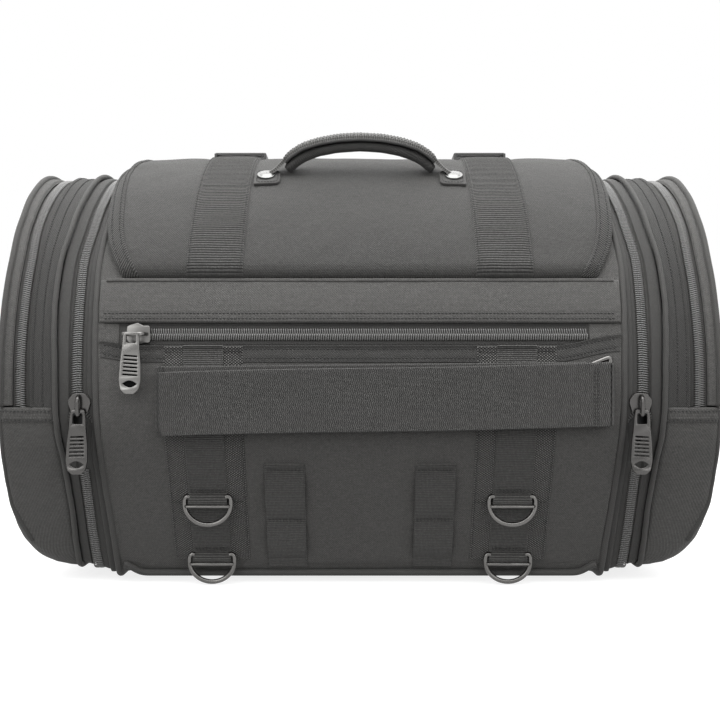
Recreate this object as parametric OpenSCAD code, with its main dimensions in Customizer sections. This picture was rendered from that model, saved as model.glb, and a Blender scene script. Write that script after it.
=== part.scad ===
// Expandable motorcycle tail bag. Millimetres, +Z up, origin at the middle of
// the underside. -Y is the side that faces the backrest, +X is to the right.

/* [Body] */
// Half the width of the middle body section, to the inner piping
body_half = 204; // [200:1:206]
// Radius of the curved front and back
wall_r = 196; // [194:1:197]
// Height of the centre of the front and back curves
wall_cz = 168; // [166:1:170]
// Distance of each curve's centre past the middle plane
wall_cy = 32; // [31:1:33]
// Clear height under the fabric, which the base pad fills
base_h = 7; // [6:0.5:8]

/* [Ends] */
// Distance from the middle to the outer face of each end cap
end_half = 284; // [283:0.5:286]
// Height of the fold line and seam of the end pocket doors
fold_z = 147; // [143:1:150]

/* [Lid] */
// Half the width of the lid
lid_half = 200; // [196:1:201]
// Thickness of the padded lid
lid_t = 5; // [4:0.5:5]
// Distance from the middle to the centre of each lid strap
strap_x = 115; // [112:1:118]
// Width of the lid straps
strap_w = 45; // [40:1:48]

/* [Handle] */
// Distance between the two handle rivets
rivet_span = 168; // [164:1:172]
// Thickness of the handle grip
grip_t = 12; // [10:1:13]

/* [Cinch strap] */
// Width of the cinch strap
cinch_w = 50; // [46:1:52]

/* [Webbing] */
// Width of the base webbing
base_web_w = 62; // [58:1:63]
// Width of the ring webbing and the belt loops
ring_web_w = 31; // [28:1:32]
// Thickness of each webbing layer
web_t = 1.6; // [1.4:0.1:1.8]

/* [Rings] */
// Outer width of each D-ring
dring_w = 40.4; // [39.8:0.2:41]
// Diameter of the ring wire
wire_d = 4; // [3.8:0.1:4.2]

/* [Zips] */
// Length of each slider's pull
pull_l = 47; // [44:1:48]
// Width of each slider's pull
pull_w = 15; // [14:0.5:16]

/* [Hidden] */
$fn = 48;

fabric = [0.17, 0.17, 0.165];
webbing = [0.14, 0.14, 0.135];
trim = [0.09, 0.09, 0.09];
metal = [0.35, 0.34, 0.33];
plastic = [0.08, 0.08, 0.08];
inside = [0.3, 0.3, 0.3];

// the outline is a crest arc, a wall arc, a waist arc and a straight foot
a_top = 115;
a_waist = 186;
a_foot = 204.3;
top_r = wall_r + wall_cy / cos(a_top);
top_cz = wall_cz + (wall_r - top_r) * sin(a_top);
waist_r = 110;
waist_cy = wall_cy + (wall_r - waist_r) * cos(a_waist);
waist_cz = wall_cz + (wall_r - waist_r) * sin(a_waist);
waist_z = wall_cz + wall_r * sin(a_waist);
low_y = waist_cy + waist_r * cos(a_foot);
low_z = waist_cz + waist_r * sin(a_foot);
foot_z = base_h + 10;
slope = tan(a_foot - 180);
foot_y = low_y + (low_z - foot_z) * slope;

function unit(v) = v / norm(v);
function arcp(cy, cz, r, a0, a1, n) = [for (i = [0:n]) let (a = a0 + (a1 - a0) * i / n) [cy + r * cos(a), cz + r * sin(a)]];
function flip(p) = [for (i = [len(p) - 1:-1:0]) [-p[i][0], p[i][1]]];
// the outline moved inward by d; it runs counter-clockwise
function inset(p, d) = [for (i = [0:len(p) - 1]) let (
    a = p[(i + len(p) - 1) % len(p)], b = p[i], c = p[(i + 1) % len(p)],
    u = unit(b - a), v = unit(c - b),
    m = [-u[1], u[0]], n = [-v[1], v[0]])
  b + d * (m + n) / (1 + m * n)];

wall_pts = concat(arcp(0, top_cz, top_r, 94, a_top, 5), arcp(wall_cy, wall_cz, wall_r, a_top + 4, a_waist, 17), arcp(waist_cy, waist_cz, waist_r, a_waist + 4.5, a_foot, 4));
front_half = concat(wall_pts, [[foot_y, foot_z], [foot_y + 2.6, base_h + 4.4], [foot_y + 6.5, base_h + 1.3], [foot_y + 12, base_h]]);
outline = concat([[0, top_cz + top_r]], front_half, flip(front_half));
// the same outline with square lower corners, for the deeper inner layers
square_half = concat(wall_pts, [[foot_y + (foot_z - base_h) * slope, base_h]]);
square_outline = concat([[0, top_cz + top_r]], square_half, flip(square_half));
function prof(d) = inset(d > 7.5 ? square_outline : outline, d);

// y and z of the front wall at height z, moved outward by o
function wall_y(z) = z >= waist_z ? wall_cy - sqrt(wall_r * wall_r - (z - wall_cz) * (z - wall_cz))
  : z >= low_z ? waist_cy - sqrt(waist_r * waist_r - (z - waist_cz) * (z - waist_cz))
  : low_y + (low_z - z) * slope;
function wall_pt(z, o) = let (t = unit([wall_y(z - 0.5) - wall_y(z + 0.5), -1])) [wall_y(z) + o * t[1], z - o * t[0]];
// a strip on the front wall between the heights in zs, from offset o0 to offset o1
function strip(zs, o0, o1) = concat([for (z = zs) wall_pt(z, o1)], [for (i = [len(zs) - 1:-1:0]) wall_pt(zs[i], o0)]);
function steps(a, b, n) = [for (i = [0:n]) a + (b - a) * i / n];

// the lid stands off the outline by a little more towards the crest
lid_a0 = 155.4;
function lid_o(a) = a >= a_top ? 7 + 4 * (lid_a0 - a) / (lid_a0 - a_top) : 11 + 5.4 * (a_top - a) / (a_top - 90);
function lid_side(o) = [for (i = [0:10]) let (a = lid_a0 + (a_top - lid_a0) * i / 10) [wall_cy + (wall_r + lid_o(a) + o) * cos(a), wall_cz + (wall_r + lid_o(a) + o) * sin(a)]];
function lid_crest(o) = [for (i = [1:5]) let (a = a_top + (92 - a_top) * i / 5) [(top_r + lid_o(a) + o) * cos(a), top_cz + (top_r + lid_o(a) + o) * sin(a)]];
function lid_half_pts(o) = concat(lid_side(o), lid_crest(o));
function lid_pts(o) = concat(lid_half_pts(o), flip(lid_half_pts(o)));
// the part of the lid outline from point i0 to point i1
function lid_band(o0, o1, i0, i1) = let (p = lid_pts(o0), q = lid_pts(o1))
  concat([for (i = [i0:i1]) q[i]], [for (i = [i1:-1:i0]) p[i]]);

corner = [[236, 14], [244, 15], [254, 19], [262, 26], [272, 38], [279, 58], [282, 74], [282, 170], [236, 170]];

module px(p, x0, x1) { translate([x0, 0, 0]) rotate([90, 0, 90]) linear_extrude(x1 - x0) polygon(p); }
module py(p, y0, y1) { translate([0, y1, 0]) rotate([90, 0, 0]) linear_extrude(y1 - y0) polygon(p); }
module box(a, b) { translate(a) cube(b - a); }
module ring(d0, d1, x0, x1) { difference() { px(prof(d0), x0, x1); px(prof(d1), x0 - 1, x1 + 1); } }
module both() { children(); mirror([1, 0, 0]) children(); }
module rod(a, b, r) { // along X, Y or Z
  d = b - a;
  translate(a) rotate(d[0] != 0 ? [0, 90, 0] : d[1] != 0 ? [-90, 0, 0] : [0, 0, 0]) cylinder(h = norm(d), r = r);
}

// ---------- body ----------
module main_shell() {
  color(fabric) difference() {
    ring(0, 3, -body_half, body_half);
    box([-150, -95, 290], [150, 95, 400]);
    box([-190, -200, 60], [190, -100, 212]);
  }
}
module padded_liner() {
  color(inside) difference() {
    ring(3, 10, -body_half, body_half);
    box([-150, -95, 290], [150, 95, 400]);
    box([-300, -300, 66], [300, -100, 212]);
  }
}
module front_wall_pad() {
  color(inside) intersection() { ring(9, 11, -body_half, body_half); box([-300, -300, 66.2], [300, -100, 211.8]); }
}
module bottom_board() {
  color(plastic) box([-145, -84, base_h + 10], [145, 84, base_h + 13]);
}
module base_pad() {
  color(trim) difference() {
    box([-165, -74, 0], [165, 74, base_h]);
    for (x = [-125, -75, -25, 25, 75, 125]) box([x - 4, -80, -1], [x + 4, 80, 1.5]);
  }
}
module storm_flap() {
  color(fabric) px(strip(steps(245.5, 213, 8), 0, 2.2), -body_half + 4, body_half - 4);
}
module front_pocket_panel() {
  color(fabric) intersection() { ring(0, 2.5, -190, 190); box([-200, -200, 60], [200, -100, 197]); }
}
module front_zip_tape() {
  color(trim) intersection() { ring(2, 3, -190, 190); box([-200, -200, 197], [200, -100, 212]); }
}
module front_zip_chain() {
  color(plastic) intersection() { ring(0.5, 2, -176, 178); box([-200, -200, 200.5], [200, -100, 209.7]); }
}
module cinch_base_strip() {
  color(webbing) union() {
    box([-160, -169.2, 129], [176, -167.4, 183]);
    box([-163, -169.2, 129], [-160, -164.3, 183]);
    box([160, -167.6, 135], [170, -164.3, 183]);
  }
}
module cinch_anchor_loop() {
  color(webbing) difference() {
    union() {
      rod([ring_px, ring_py, 142], [ring_px, ring_py, 182], 3.3);
      box([171, ring_py + 1.6, 142], [ring_px, ring_py + 3.3, 182]);
      box([171, ring_py + 1.6, 142], [175, -164.3, 182]);
    }
    rod([ring_px, ring_py, 130], [ring_px, ring_py, 194], 2);
  }
}
module base_webbing() {
  color(webbing) both() px(strip(concat(steps(196.5, low_z, 12), [foot_z + 2]), 0.3, 0.1 + web_t), strap_x + 7 - base_web_w / 2, strap_x + 7 + base_web_w / 2);
}
dr_u_z = 74.4;
dr_l_z = 27.6;
dr_x = 122;
dr_o = 5.4;
module ring_fold(z) {
  p = wall_pt(z, dr_o);
  difference() {
    rod([dr_x - 15, p[0], p[1]], [dr_x + 15, p[0], p[1]], 3.7);
    rod([dr_x - 20, p[0], p[1]], [dr_x + 20, p[0], p[1]], 2.1);
  }
}
module ring_webbing() {
  color(webbing) both() {
    px(strip(concat(steps(196, low_z, 12), [foot_z + 5]), 0.2 + web_t, 2 * web_t), dr_x - ring_web_w / 2, dr_x + ring_web_w / 2);
    ring_fold(dr_u_z);
    ring_fold(dr_l_z);
  }
}
// a webbing strip sewn at three heights, standing off between them
module belt_loops() {
  hi = [for (z = [103, 98, 92, 84, 76, 68, 61, 57, 53, 46, 38, 30, 24, 20])
      wall_pt(z, 0.2 + 6.4 * ((z < 95 && z > 60) || (z < 51 && z > 26) ? 1 : (z < 100 && z > 55) ? 0.1 : 0))];
  color(webbing) both()
    px(concat([for (p = hi) p + web_t * [-0.91, -0.41]], [for (i = [len(hi) - 1:-1:0]) hi[i]]), 62.5 - ring_web_w / 2, 62.5 + ring_web_w / 2);
}
module body_piping() {
  color(trim) union() {
    both() ring(-1.6, 3, body_half, body_half + 4.5);
    for (s = [-1, 1]) box([-body_half, s * 109.5 - 1.3, 9.6], [body_half, s * 109.5 + 1.3, 12.6]);
  }
}
module expansion_zip_inner() {
  color(trim) both() { ring(5, 7, body_half, 218.7); ring(3.8, 5, 214.4, 218.7); }
}
module lid_seam_binding() {
  color(trim) px(strip(steps(249.2, 245.9, 2), 0.2, 3.8), -lid_half, lid_half);
}
module back_straps() {
  color(webbing) both() mirror([0, 1, 0])
    px(strip(concat(steps(226, low_z, 16), [foot_z + 2]), 0.5, 0.5 + web_t), strap_x - strap_w / 2, strap_x + strap_w / 2);
}
// side release buckles: hollow sockets on the body, tongues on the lid
bk_y = 167;
module buckle_sockets() {
  color(plastic) both() difference() {
    union() {
      box([strap_x - 24, bk_y - 6, 222], [strap_x + 24, bk_y + 8, 250]);
      box([strap_x - 24, bk_y - 6.8, 216], [strap_x + 24, bk_y + 2, 222]);
    }
    box([strap_x - 20, bk_y - 3.6, 226], [strap_x + 20, bk_y + 5.6, 251]);
    box([strap_x - 25, bk_y - 3, 229], [strap_x - 19, bk_y + 5, 241]);
    box([strap_x + 19, bk_y - 3, 229], [strap_x + 25, bk_y + 5, 241]);
  }
}

// ---------- lid ----------
module lid_panel() {
  color(fabric) px(lid_band(-lid_t, 0, 0, 30), -lid_half + 7, lid_half - 7);
}
module lid_binding() {
  color(trim) both() px(lid_band(-lid_t - 0.4, 0.6, 0, 30), lid_half - 7, lid_half);
}
module lid_straps() {
  color(webbing) both() px(lid_band(0, web_t, 0, 30), strap_x - strap_w / 2, strap_x + strap_w / 2);
}
module strap_adjusters() {
  color(plastic) both() translate([strap_x, 7, 374.9]) rotate([-2, 0, 0]) difference() {
    union() {
      box([-25.5, -9, 3.4], [25.5, 15, 6.6]);
      for (x = [-25.5, 22.8]) box([x, -9, -1], [x + 2.7, 15, 3.4]);
    }
    box([-22, -5.5, 1], [22, 0.5, 8]);
    box([-22, 5.5, 1], [22, 11.5, 8]);
  }
}
riv_y = -71;
riv_z = 347.2;
module on_slope() { translate([0, riv_y, riv_z]) rotate([30, 0, 0]) children(); }
module handle_anchors() {
  color(trim) both() on_slope() difference() {
    box([rivet_span / 2 - 15, -11, 0.3], [rivet_span / 2 + 8, 12, 2.6]);
    rod([rivet_span / 2, 0, -1], [rivet_span / 2, 0, 4], 2.7);
  }
}
module handle_rivets() {
  color(metal) both() on_slope() union() {
    rod([rivet_span / 2, 0, 0.4], [rivet_span / 2, 0, 2.7], 2.6);
    rod([rivet_span / 2, 0, 2.6], [rivet_span / 2, 0, 3.6], 8);
    rod([rivet_span / 2, 0, 3.6], [rivet_span / 2, 0, 4.6], 6.4);
    rod([rivet_span / 2, 0, 4.6], [rivet_span / 2, 0, 5.2], 4);
  }
}
module buckle_plugs() {
  color(plastic) both() union() {
    px([[bk_y - 6, 251.5], [bk_y + 8, 251.5], [bk_y + 8, 262], [bk_y - 16.8, 262], [bk_y - 12.5, 253.3], [bk_y - 6, 253.3]], strap_x - 22, strap_x + 22);
    box([strap_x - 10, bk_y - 1, 232], [strap_x + 10, bk_y + 3, 252]);
    for (s = [-1, 1]) box([strap_x + s * 15.5 - 2, bk_y - 1, 230], [strap_x + s * 15.5 + 2, bk_y + 3, 252]);
  }
}

// ---------- handle ----------
// arch of the handle in x and z, above the hinge line; the angle runs over the arch
function arch(rx, rz, z0, n) = [for (i = [0:n]) let (a = 180 * i / n) [rx * cos(a), z0 + rz * sin(a)]];
hinge_y = riv_y - 2.4;
hinge_z = riv_z + 6.7;
module tilt() { translate([0, hinge_y, hinge_z]) rotate([18, 0, 0]) children(); }
// narrow at the hinge and full width above it, so that the handle clears the lid when it falls
module taper(w) { px([for (p = [[2.2, -1.5], [3.2, 3], [5, 7.5], [7.5, 12], [w, 19], [w, 40], [-w, 40], [-w, 19], [-7.5, 12], [-5, 7.5], [-3.2, 3], [-2.2, -1.5]]) p], -90, 90); }
module handle_webbing() {
  color(webbing) tilt() intersection() {
    py(concat([[77, -1], [77, 1], [71, 1.4]], arch(69, 25.5, 1.6, 24), [[-71, 1.4], [-77, 1], [-77, -1], [-67.5, -1]],
      [for (i = [24:-1:0]) arch(66.5, 23, 1.6, 24)[i]], [[67.5, -1]]), -14, 14);
    taper(11);
  }
}
module handle_grip() {
  color(trim) tilt() difference() {
    intersection() {
      py(concat([for (i = [3:21]) arch(68, 31.5, -1, 24)[i]], [for (i = [21:-1:3]) arch(64.6, 31.5 - grip_t, -1, 24)[i]]), -14, 14);
      taper(13);
    }
    py(concat([for (i = [0:24]) arch(69.3, 25.8, 1.6, 24)[i]], [for (i = [24:-1:0]) arch(66.2, 22.7, 1.6, 24)[i]]), -15, 15);
  }
}

// ---------- zip sliders and pulls ----------
// A slider on a zip that runs along Z and faces -Y; its origin is on the face of the teeth
module slider() {
  difference() {
    py([[-8, 7], [8, 7], [8.5, 2], [5.5, -6.5], [-5.5, -6.5], [-8.5, 2]], -4.4, -0.5);
    py([[-1, 8.5], [1, 8.5], [1, 5], [-1, 5]], -6, 1);
  }
  box([-1.6, -8, 1.5], [1.6, -4.2, 3.6]);
  box([-1.6, -9.6, -9.6], [1.6, -8, 3.6]);
  box([-1.6, -9.6, -9.6], [1.6, -4.9, -8.2]);
}
function pull_pts(t) = [[-5.6, t], [5.6, t], [6.6, -3], [7, -14], [pull_w / 2, -22], [pull_w / 2 + 0.4, -36], [6.2, -pull_l + 4.5], [3.2, -pull_l + 1.6], [-3.2, -pull_l + 1.6], [-6.2, -pull_l + 4.5], [-pull_w / 2 - 0.4, -36], [-pull_w / 2, -22], [-7, -14], [-6.6, -3]];
module pull_plate(t, y0, y1, z_win) {
  difference() {
    union() {
      py(pull_pts(t), y0, y1);
      py([[-6.4, -pull_l + 7], [6.4, -pull_l + 7], [6.2, -pull_l + 4.5], [3.2, -pull_l + 1.6], [-3.2, -pull_l + 1.6], [-6.2, -pull_l + 4.5]], y0 - 0.6, y1 + 0.1);
    }
    box([-3.9, -4, -9.4], [3.9, 4, z_win]);
    for (i = [0:5]) box([-5.4, -4, -21.4 - i * 2.5], [5.4, 4, -20.2 - i * 2.5]);
    intersection() {
      rod([0, -4, -29], [0, 4, -29], 9.6);
      rod([0, -4, -47.2], [0, 4, -47.2], 12.6);
    }
  }
}
// the pull hangs from a cross bar inside the slider's bridge; its origin is the bar
module pull() {
  pull_plate(0, -1.1, 1.1, 1);
  rod([-5.6, 0, 0], [5.6, 0, 0], 1.25);
}
fs_x = -171;
fs_z = 205.1;
fs_y = wall_y(205);
module front_slider() {
  color(metal) translate([fs_x, fs_y, fs_z]) union() {
    difference() {
      py([[-8, -7.4], [-8, 6.9], [-2, 6.9], [7, 5.5], [7, -5.5], [-2, -7.4]], -4.8, -0.9);
      py([[-9, -1], [-9, 1], [-5, 1], [-5, -1]], -6, 1);
    }
    box([2.6, -13.6, -1.6], [5, -4.6, 1.6]);
    rod([-11.5, -13.1, 0], [4, -13.1, 0], 1.3);
    box([-13.5, -14.4, -1.6], [-11.3, -8, 1.6]);
    box([-13.5, -9.4, -1.6], [-6, -8, 1.6]);
    box([-8, -9.4, -1.6], [-6, -4.6, 1.6]);
  }
}
module front_pull() {
  color(metal) translate([fs_x - 7.2, fs_y - 13.1, fs_z]) union() {
    translate([0, -2.2, -1.5]) pull_plate(-1.4, -1.3, 0.8, -3.6);
    difference() {
      rod([-3, 0, 0], [3, 0, 0], 3.4);
      rod([-4, 0, 0], [4, 0, 0], 1.6);
    }
  }
}
// a slider and pull riding on the front curve, turned by t degrees below the curve's centre
ex_x = 218.9;
en_x = 268;
ride_a = 5;
bar_z = -5.8;
module on_front(x, d) { translate([x, wall_cy - (wall_r - d) * cos(ride_a), wall_cz - (wall_r - d) * sin(ride_a)]) rotate([ride_a, 0, 0]) children(); }
module hang(x, d) {
  // the pull hangs straight down from the bar
  s = [0, -6.5, bar_z];
  c = [x, wall_cy - (wall_r - d) * cos(ride_a) + s[1] * cos(ride_a) - s[2] * sin(ride_a), wall_cz - (wall_r - d) * sin(ride_a) + s[1] * sin(ride_a) + s[2] * cos(ride_a)];
  translate(c) children();
}
module expansion_slider() { color(metal) on_front(ex_x, 3.8) slider(); }
module expansion_pull() { color(metal) hang(ex_x, 3.8) pull(); }
module end_slider() { color(metal) mirror([0, 1, 0]) on_front(en_x, 4.6) slider(); }
module end_pull() { color(metal) mirror([0, 1, 0]) hang(en_x, 4.6) pull(); }

// ---------- rings ----------
module d_ring(z) {
  p = wall_pt(z, dr_o);
  r = (dring_w - wire_d) / 2;
  color(metal) translate([dr_x, p[0], p[1]]) union() {
    rod([-r, 0, 0], [r, 0, 0], wire_d / 2 - 0.15);
    for (s = [-1, 1]) {
      translate([s * r, 0, 0]) sphere(r = wire_d / 2 - 0.1);
      rod([s * r, 0, -4], [s * r, 0, 0], wire_d / 2 - 0.1);
    }
    translate([0, 0, -4]) rotate([90, 0, 0]) rotate([0, 0, 180]) rotate_extrude(angle = 180) translate([r, 0]) circle(r = wire_d / 2 - 0.1);
    rod([-r, 0, -7.6], [r, 0, -7.6], 1.4);
  }
}
ring_px = 181;
ring_py = -168.6;
ring_w = 14;
ring_z0 = 134;
ring_z1 = 190;
module cinch_ring() {
  color(metal) translate([ring_px, ring_py, 0]) union() {
    for (x = [0, ring_w]) {
      rod([x, 0, ring_z0], [x, 0, ring_z1], 1.7);
      for (z = [ring_z0, ring_z1]) translate([x, 0, z]) sphere(r = 1.7);
    }
    for (z = [ring_z0, ring_z1]) rod([0, 0, z], [ring_w, 0, z], 1.7);
  }
}
module cinch_strap() {
  color(webbing) difference() {
    union() {
      py([[-157, 125.5], [-158, 125.5 + cinch_w], [196, 133.5 + cinch_w], [196, 133.5]], -174, -172.4);
      rod([ring_px + ring_w, ring_py - 0.7, 137.4], [ring_px + ring_w, ring_py - 0.7, 183], 4.7);
      box([ring_px + 5, ring_py + 2.6, 137.4], [ring_px + ring_w, ring_py + 3.9, 183]);
    }
    rod([ring_px + ring_w, ring_py, 120], [ring_px + ring_w, ring_py, 195], 2.2);
    box([ring_px - 6, ring_py - 3.6, 120], [ring_px + ring_w, ring_py + 2.6, 195]);
  }
}

// ---------- end modules, drawn for +X ----------
module expansion_zip_outer() { color(trim) union() { ring(5, 7, 219.1, 236); ring(3.8, 5, 219.1, 223.4); } }
module end_piping() { color(trim) ring(-1.6, 5, 236, 241); }
module divider_wall() { color(inside) px(prof(5), 236, 239); }
module expansion_sleeve() { color(inside) ring(11.4, 13.2, 152, 236); }
module pocket_gusset() { color(fabric) intersection() { ring(2.4, 5.4, 241, 259); box([200, -300, fold_z], [300, 300, 400]); } }
module end_zip() {
  color(trim) intersection() {
    union() { ring(5.8, 7.6, 259, 268); ring(4.6, 5.8, 264, 272); }
    box([200, -300, fold_z], [300, 300, 400]);
  }
}
module lower_end_panel() {
  color(fabric) difference() {
    intersection() { px(prof(4), 241, 290); py(corner, -200, 200); }
    intersection() { px(prof(7), 230, 295); py(inset(corner, 3), -199, 199); }
    box([230, -300, fold_z - 0.4], [300, 300, 300]);
  }
}
module end_cap() {
  color(fabric) difference() {
    union() {
      px(prof(8.2), 272.6, 281);
      px(prof(24), 281, 282.6);
      px(prof(48), 282.6, end_half);
    }
    px(prof(11), 271, 279);
    box([230, -300, -10], [300, 300, fold_z + 0.4]);
  }
}

main_shell();
padded_liner();
front_wall_pad();
bottom_board();
base_pad();
storm_flap();
front_pocket_panel();
front_zip_tape();
front_zip_chain();
cinch_base_strip();
cinch_anchor_loop();
base_webbing();
ring_webbing();
belt_loops();
body_piping();
expansion_zip_inner();
lid_seam_binding();
back_straps();
buckle_sockets();
lid_panel();
lid_binding();
lid_straps();
strap_adjusters();
handle_anchors();
handle_rivets();
buckle_plugs();
handle_webbing();
handle_grip();
front_slider();
front_pull();
cinch_ring();
cinch_strap();
mirror([1, 0, 0]) d_ring(dr_u_z);  // d_ring_upper_left
d_ring(dr_u_z);  // d_ring_upper_right
mirror([1, 0, 0]) d_ring(dr_l_z);  // d_ring_lower_left
d_ring(dr_l_z);  // d_ring_lower_right
mirror([1, 0, 0]) expansion_zip_outer();  // expansion_zip_outer_left
mirror([1, 0, 0]) end_piping();  // end_piping_left
mirror([1, 0, 0]) divider_wall();  // divider_wall_left
mirror([1, 0, 0]) expansion_sleeve();  // expansion_sleeve_left
mirror([1, 0, 0]) pocket_gusset();  // pocket_gusset_left
mirror([1, 0, 0]) end_zip();  // end_zip_left
mirror([1, 0, 0]) lower_end_panel();  // lower_end_panel_left
expansion_zip_outer();  // expansion_zip_outer_right
end_piping();  // end_piping_right
divider_wall();  // divider_wall_right
expansion_sleeve();  // expansion_sleeve_right
pocket_gusset();  // pocket_gusset_right
end_zip();  // end_zip_right
lower_end_panel();  // lower_end_panel_right
mirror([1, 0, 0]) end_cap();  // end_cap_left
end_cap();  // end_cap_right
mirror([1, 0, 0]) expansion_slider();  // expansion_slider_left
mirror([1, 0, 0]) expansion_pull();  // expansion_pull_left
expansion_slider();  // expansion_slider_right
expansion_pull();  // expansion_pull_right
mirror([1, 0, 0]) end_slider();  // end_slider_left
mirror([1, 0, 0]) end_pull();  // end_pull_left
end_slider();  // end_slider_right
end_pull();  // end_pull_right
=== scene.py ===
import bpy, bmesh, math
import numpy as np
from mathutils import Vector, Matrix


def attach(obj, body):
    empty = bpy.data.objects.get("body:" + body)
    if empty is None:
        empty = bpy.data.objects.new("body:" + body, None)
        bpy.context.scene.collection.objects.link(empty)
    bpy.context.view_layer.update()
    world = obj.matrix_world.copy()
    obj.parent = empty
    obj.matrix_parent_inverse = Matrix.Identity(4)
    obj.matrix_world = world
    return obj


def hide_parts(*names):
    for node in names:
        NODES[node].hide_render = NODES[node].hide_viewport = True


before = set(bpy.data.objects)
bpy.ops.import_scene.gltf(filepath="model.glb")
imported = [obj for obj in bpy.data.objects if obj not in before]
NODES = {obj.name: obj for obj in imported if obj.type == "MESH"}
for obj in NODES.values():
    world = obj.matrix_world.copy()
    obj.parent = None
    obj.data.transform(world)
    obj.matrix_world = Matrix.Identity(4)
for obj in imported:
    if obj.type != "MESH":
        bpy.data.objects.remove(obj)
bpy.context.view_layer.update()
MM = 0.001
rng = np.random.default_rng(7)


def rad(a):
    return np.radians(a)


def sstep(t, a, b):
    t = np.clip((np.asarray(t, float) - a) / (b - a), 0, 1)
    return t * t * (3 - 2 * t)


def gauss(t, c, w):
    return np.exp(-((np.asarray(t, float) - c) / w) ** 2)


# ---------------------------------------------------------------- the outline
WALL_R, WALL_CZ, WALL_CY, BASE_H = 196.0, 168.0, 32.0, 7.0
A_TOP, A_WAIST, A_FOOT = 115.0, 186.0, 204.3
TOP_R = WALL_R + WALL_CY / math.cos(rad(A_TOP))
TOP_CZ = WALL_CZ + (WALL_R - TOP_R) * math.sin(rad(A_TOP))
WAIST_R = 110.0
WAIST_CY = WALL_CY + (WALL_R - WAIST_R) * math.cos(rad(A_WAIST))
WAIST_CZ = WALL_CZ + (WALL_R - WAIST_R) * math.sin(rad(A_WAIST))
LOW_Y = WAIST_CY + WAIST_R * math.cos(rad(A_FOOT))
LOW_Z = WAIST_CZ + WAIST_R * math.sin(rad(A_FOOT))
FOOT_Z = BASE_H + 10
FOOT_Y = LOW_Y + (LOW_Z - FOOT_Z) * math.tan(rad(A_FOOT - 180))


def arc(cy, cz, r, a0, a1, n):
    a = np.radians(np.linspace(a0, a1, n))
    return np.stack([cy + r * np.cos(a), cz + r * np.sin(a)], 1)


def resample(p, step):
    d = np.r_[0, np.cumsum(np.linalg.norm(np.diff(p, axis=0), axis=1))]
    n = max(2, int(round(d[-1] / step)))
    t = np.linspace(0, d[-1], n + 1)
    return np.stack([np.interp(t, d, p[:, i]) for i in range(p.shape[1])], 1)


class Curve2:
    """A curve in the YZ plane, with its arc length and outward normal."""

    def __init__(self, p, flip=False, smooth=3):
        p = resample(p, 1.0)
        for _ in range(smooth):
            q = p.copy()
            q[1:-1] = 0.25 * p[:-2] + 0.5 * p[1:-1] + 0.25 * p[2:]
            p = q
        self.s = np.r_[0, np.cumsum(np.linalg.norm(np.diff(p, axis=0), axis=1))]
        t = np.gradient(p, self.s, axis=0)
        t /= np.linalg.norm(t, axis=1)[:, None]
        n = np.stack([t[:, 1], -t[:, 0]], 1)
        if flip:
            n = -n
        self.p, self.n, self.L = p, n, self.s[-1]

    def at(self, s, o=0.0):
        s = np.asarray(s, float)
        y = np.interp(s, self.s, self.p[:, 0])
        z = np.interp(s, self.s, self.p[:, 1])
        ny = np.interp(s, self.s, self.n[:, 0])
        nz = np.interp(s, self.s, self.n[:, 1])
        return y + o * ny, z + o * nz

    def s_at_z(self, z, lo=0.0, hi=None):
        hi = self.L if hi is None else hi
        m = (self.s >= lo) & (self.s <= hi)
        s, zz = self.s[m], self.p[m, 1]
        k = np.argsort(zz)
        return float(np.interp(z, zz[k], s[k]))


front = np.concatenate([
    arc(0, TOP_CZ, TOP_R, 90, A_TOP, 40), arc(WALL_CY, WALL_CZ, WALL_R, A_TOP, A_WAIST, 160)[1:],
    arc(WAIST_CY, WAIST_CZ, WAIST_R, A_WAIST, A_FOOT, 30)[1:],
    [[FOOT_Y, FOOT_Z], [FOOT_Y + 2.0, BASE_H + 5.6], [FOOT_Y + 4.4, BASE_H + 2.6], [FOOT_Y + 7.6, BASE_H + 0.8], [FOOT_Y + 12, BASE_H], [0, BASE_H]]])
back = front[::-1] * np.array([-1, 1])
OUT = Curve2(np.concatenate([front, back[1:]]), flip=False)
# arc length starts at the top, runs down the -Y wall, along the bottom and up the +Y wall
if OUT.n[5, 1] < 0:
    OUT.n = -OUT.n
HALF = OUT.L / 2


def sz(z):
    """Arc length on the -Y wall at height z."""
    return OUT.s_at_z(z, 20, HALF - 110)


WARP_Z = np.array([10, 35, 45, 64, 83, 102, 130, 147, 177, 215, 228, 262, 300, 330, 356.0])
WARP_X = np.array([0, 150, 205, 219, 239, 268, 276, 300.0])
WARP_D = np.array([
    # 0, 150,  205,  219,   239,  268,   276,  300
    [0, 0, -5.0, 0.5, -4.5, 6.0, 8.2, 9.5],
    [0, 0, -4.2, 1.4, -4.6, 5.5, 8.0, 9.0],
    [0, 0, -3.6, 1.9, -5.2, 4.4, 7.0, 8.0],
    [0, 0, -2.6, 1.9, -5.6, 2.5, 6.0, 6.4],
    [0, 0, -1.8, 1.9, -5.0, 1.5, 4.4, 4.7],
    [0, 0, -1.0, 2.0, -4.2, 0.5, 3.4, 4.0],
    [0, 0, -0.6, 2.2, -1.8, -1.0, 2.0, 3.0],
    [0, 0, -0.4, 2.3, -1.0, -2.0, 0.5, 1.0],
    [0, 0, -0.2, 2.5, -0.8, -2.1, 0.0, 0.0],
    [0, 0, 1.2, 2.8, 1.0, -2.2, 0.0, 0.0],
    [0, 0, 2.0, 3.3, 1.8, -2.2, 0.0, 0.0],
    [0, 0, 3.2, 4.2, 1.8, -2.0, 0.2, 0.4],
    [0, 0, 2.4, 1.6, -1.0, 0.0, 1.4, 1.6],
    [0, 0, 1.2, 0.8, -2.4, 0.0, 3.4, 3.6],
    [0, 0, 0.6, 0.5, -3.0, 0.4, 5.0, 5.2]])


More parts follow.
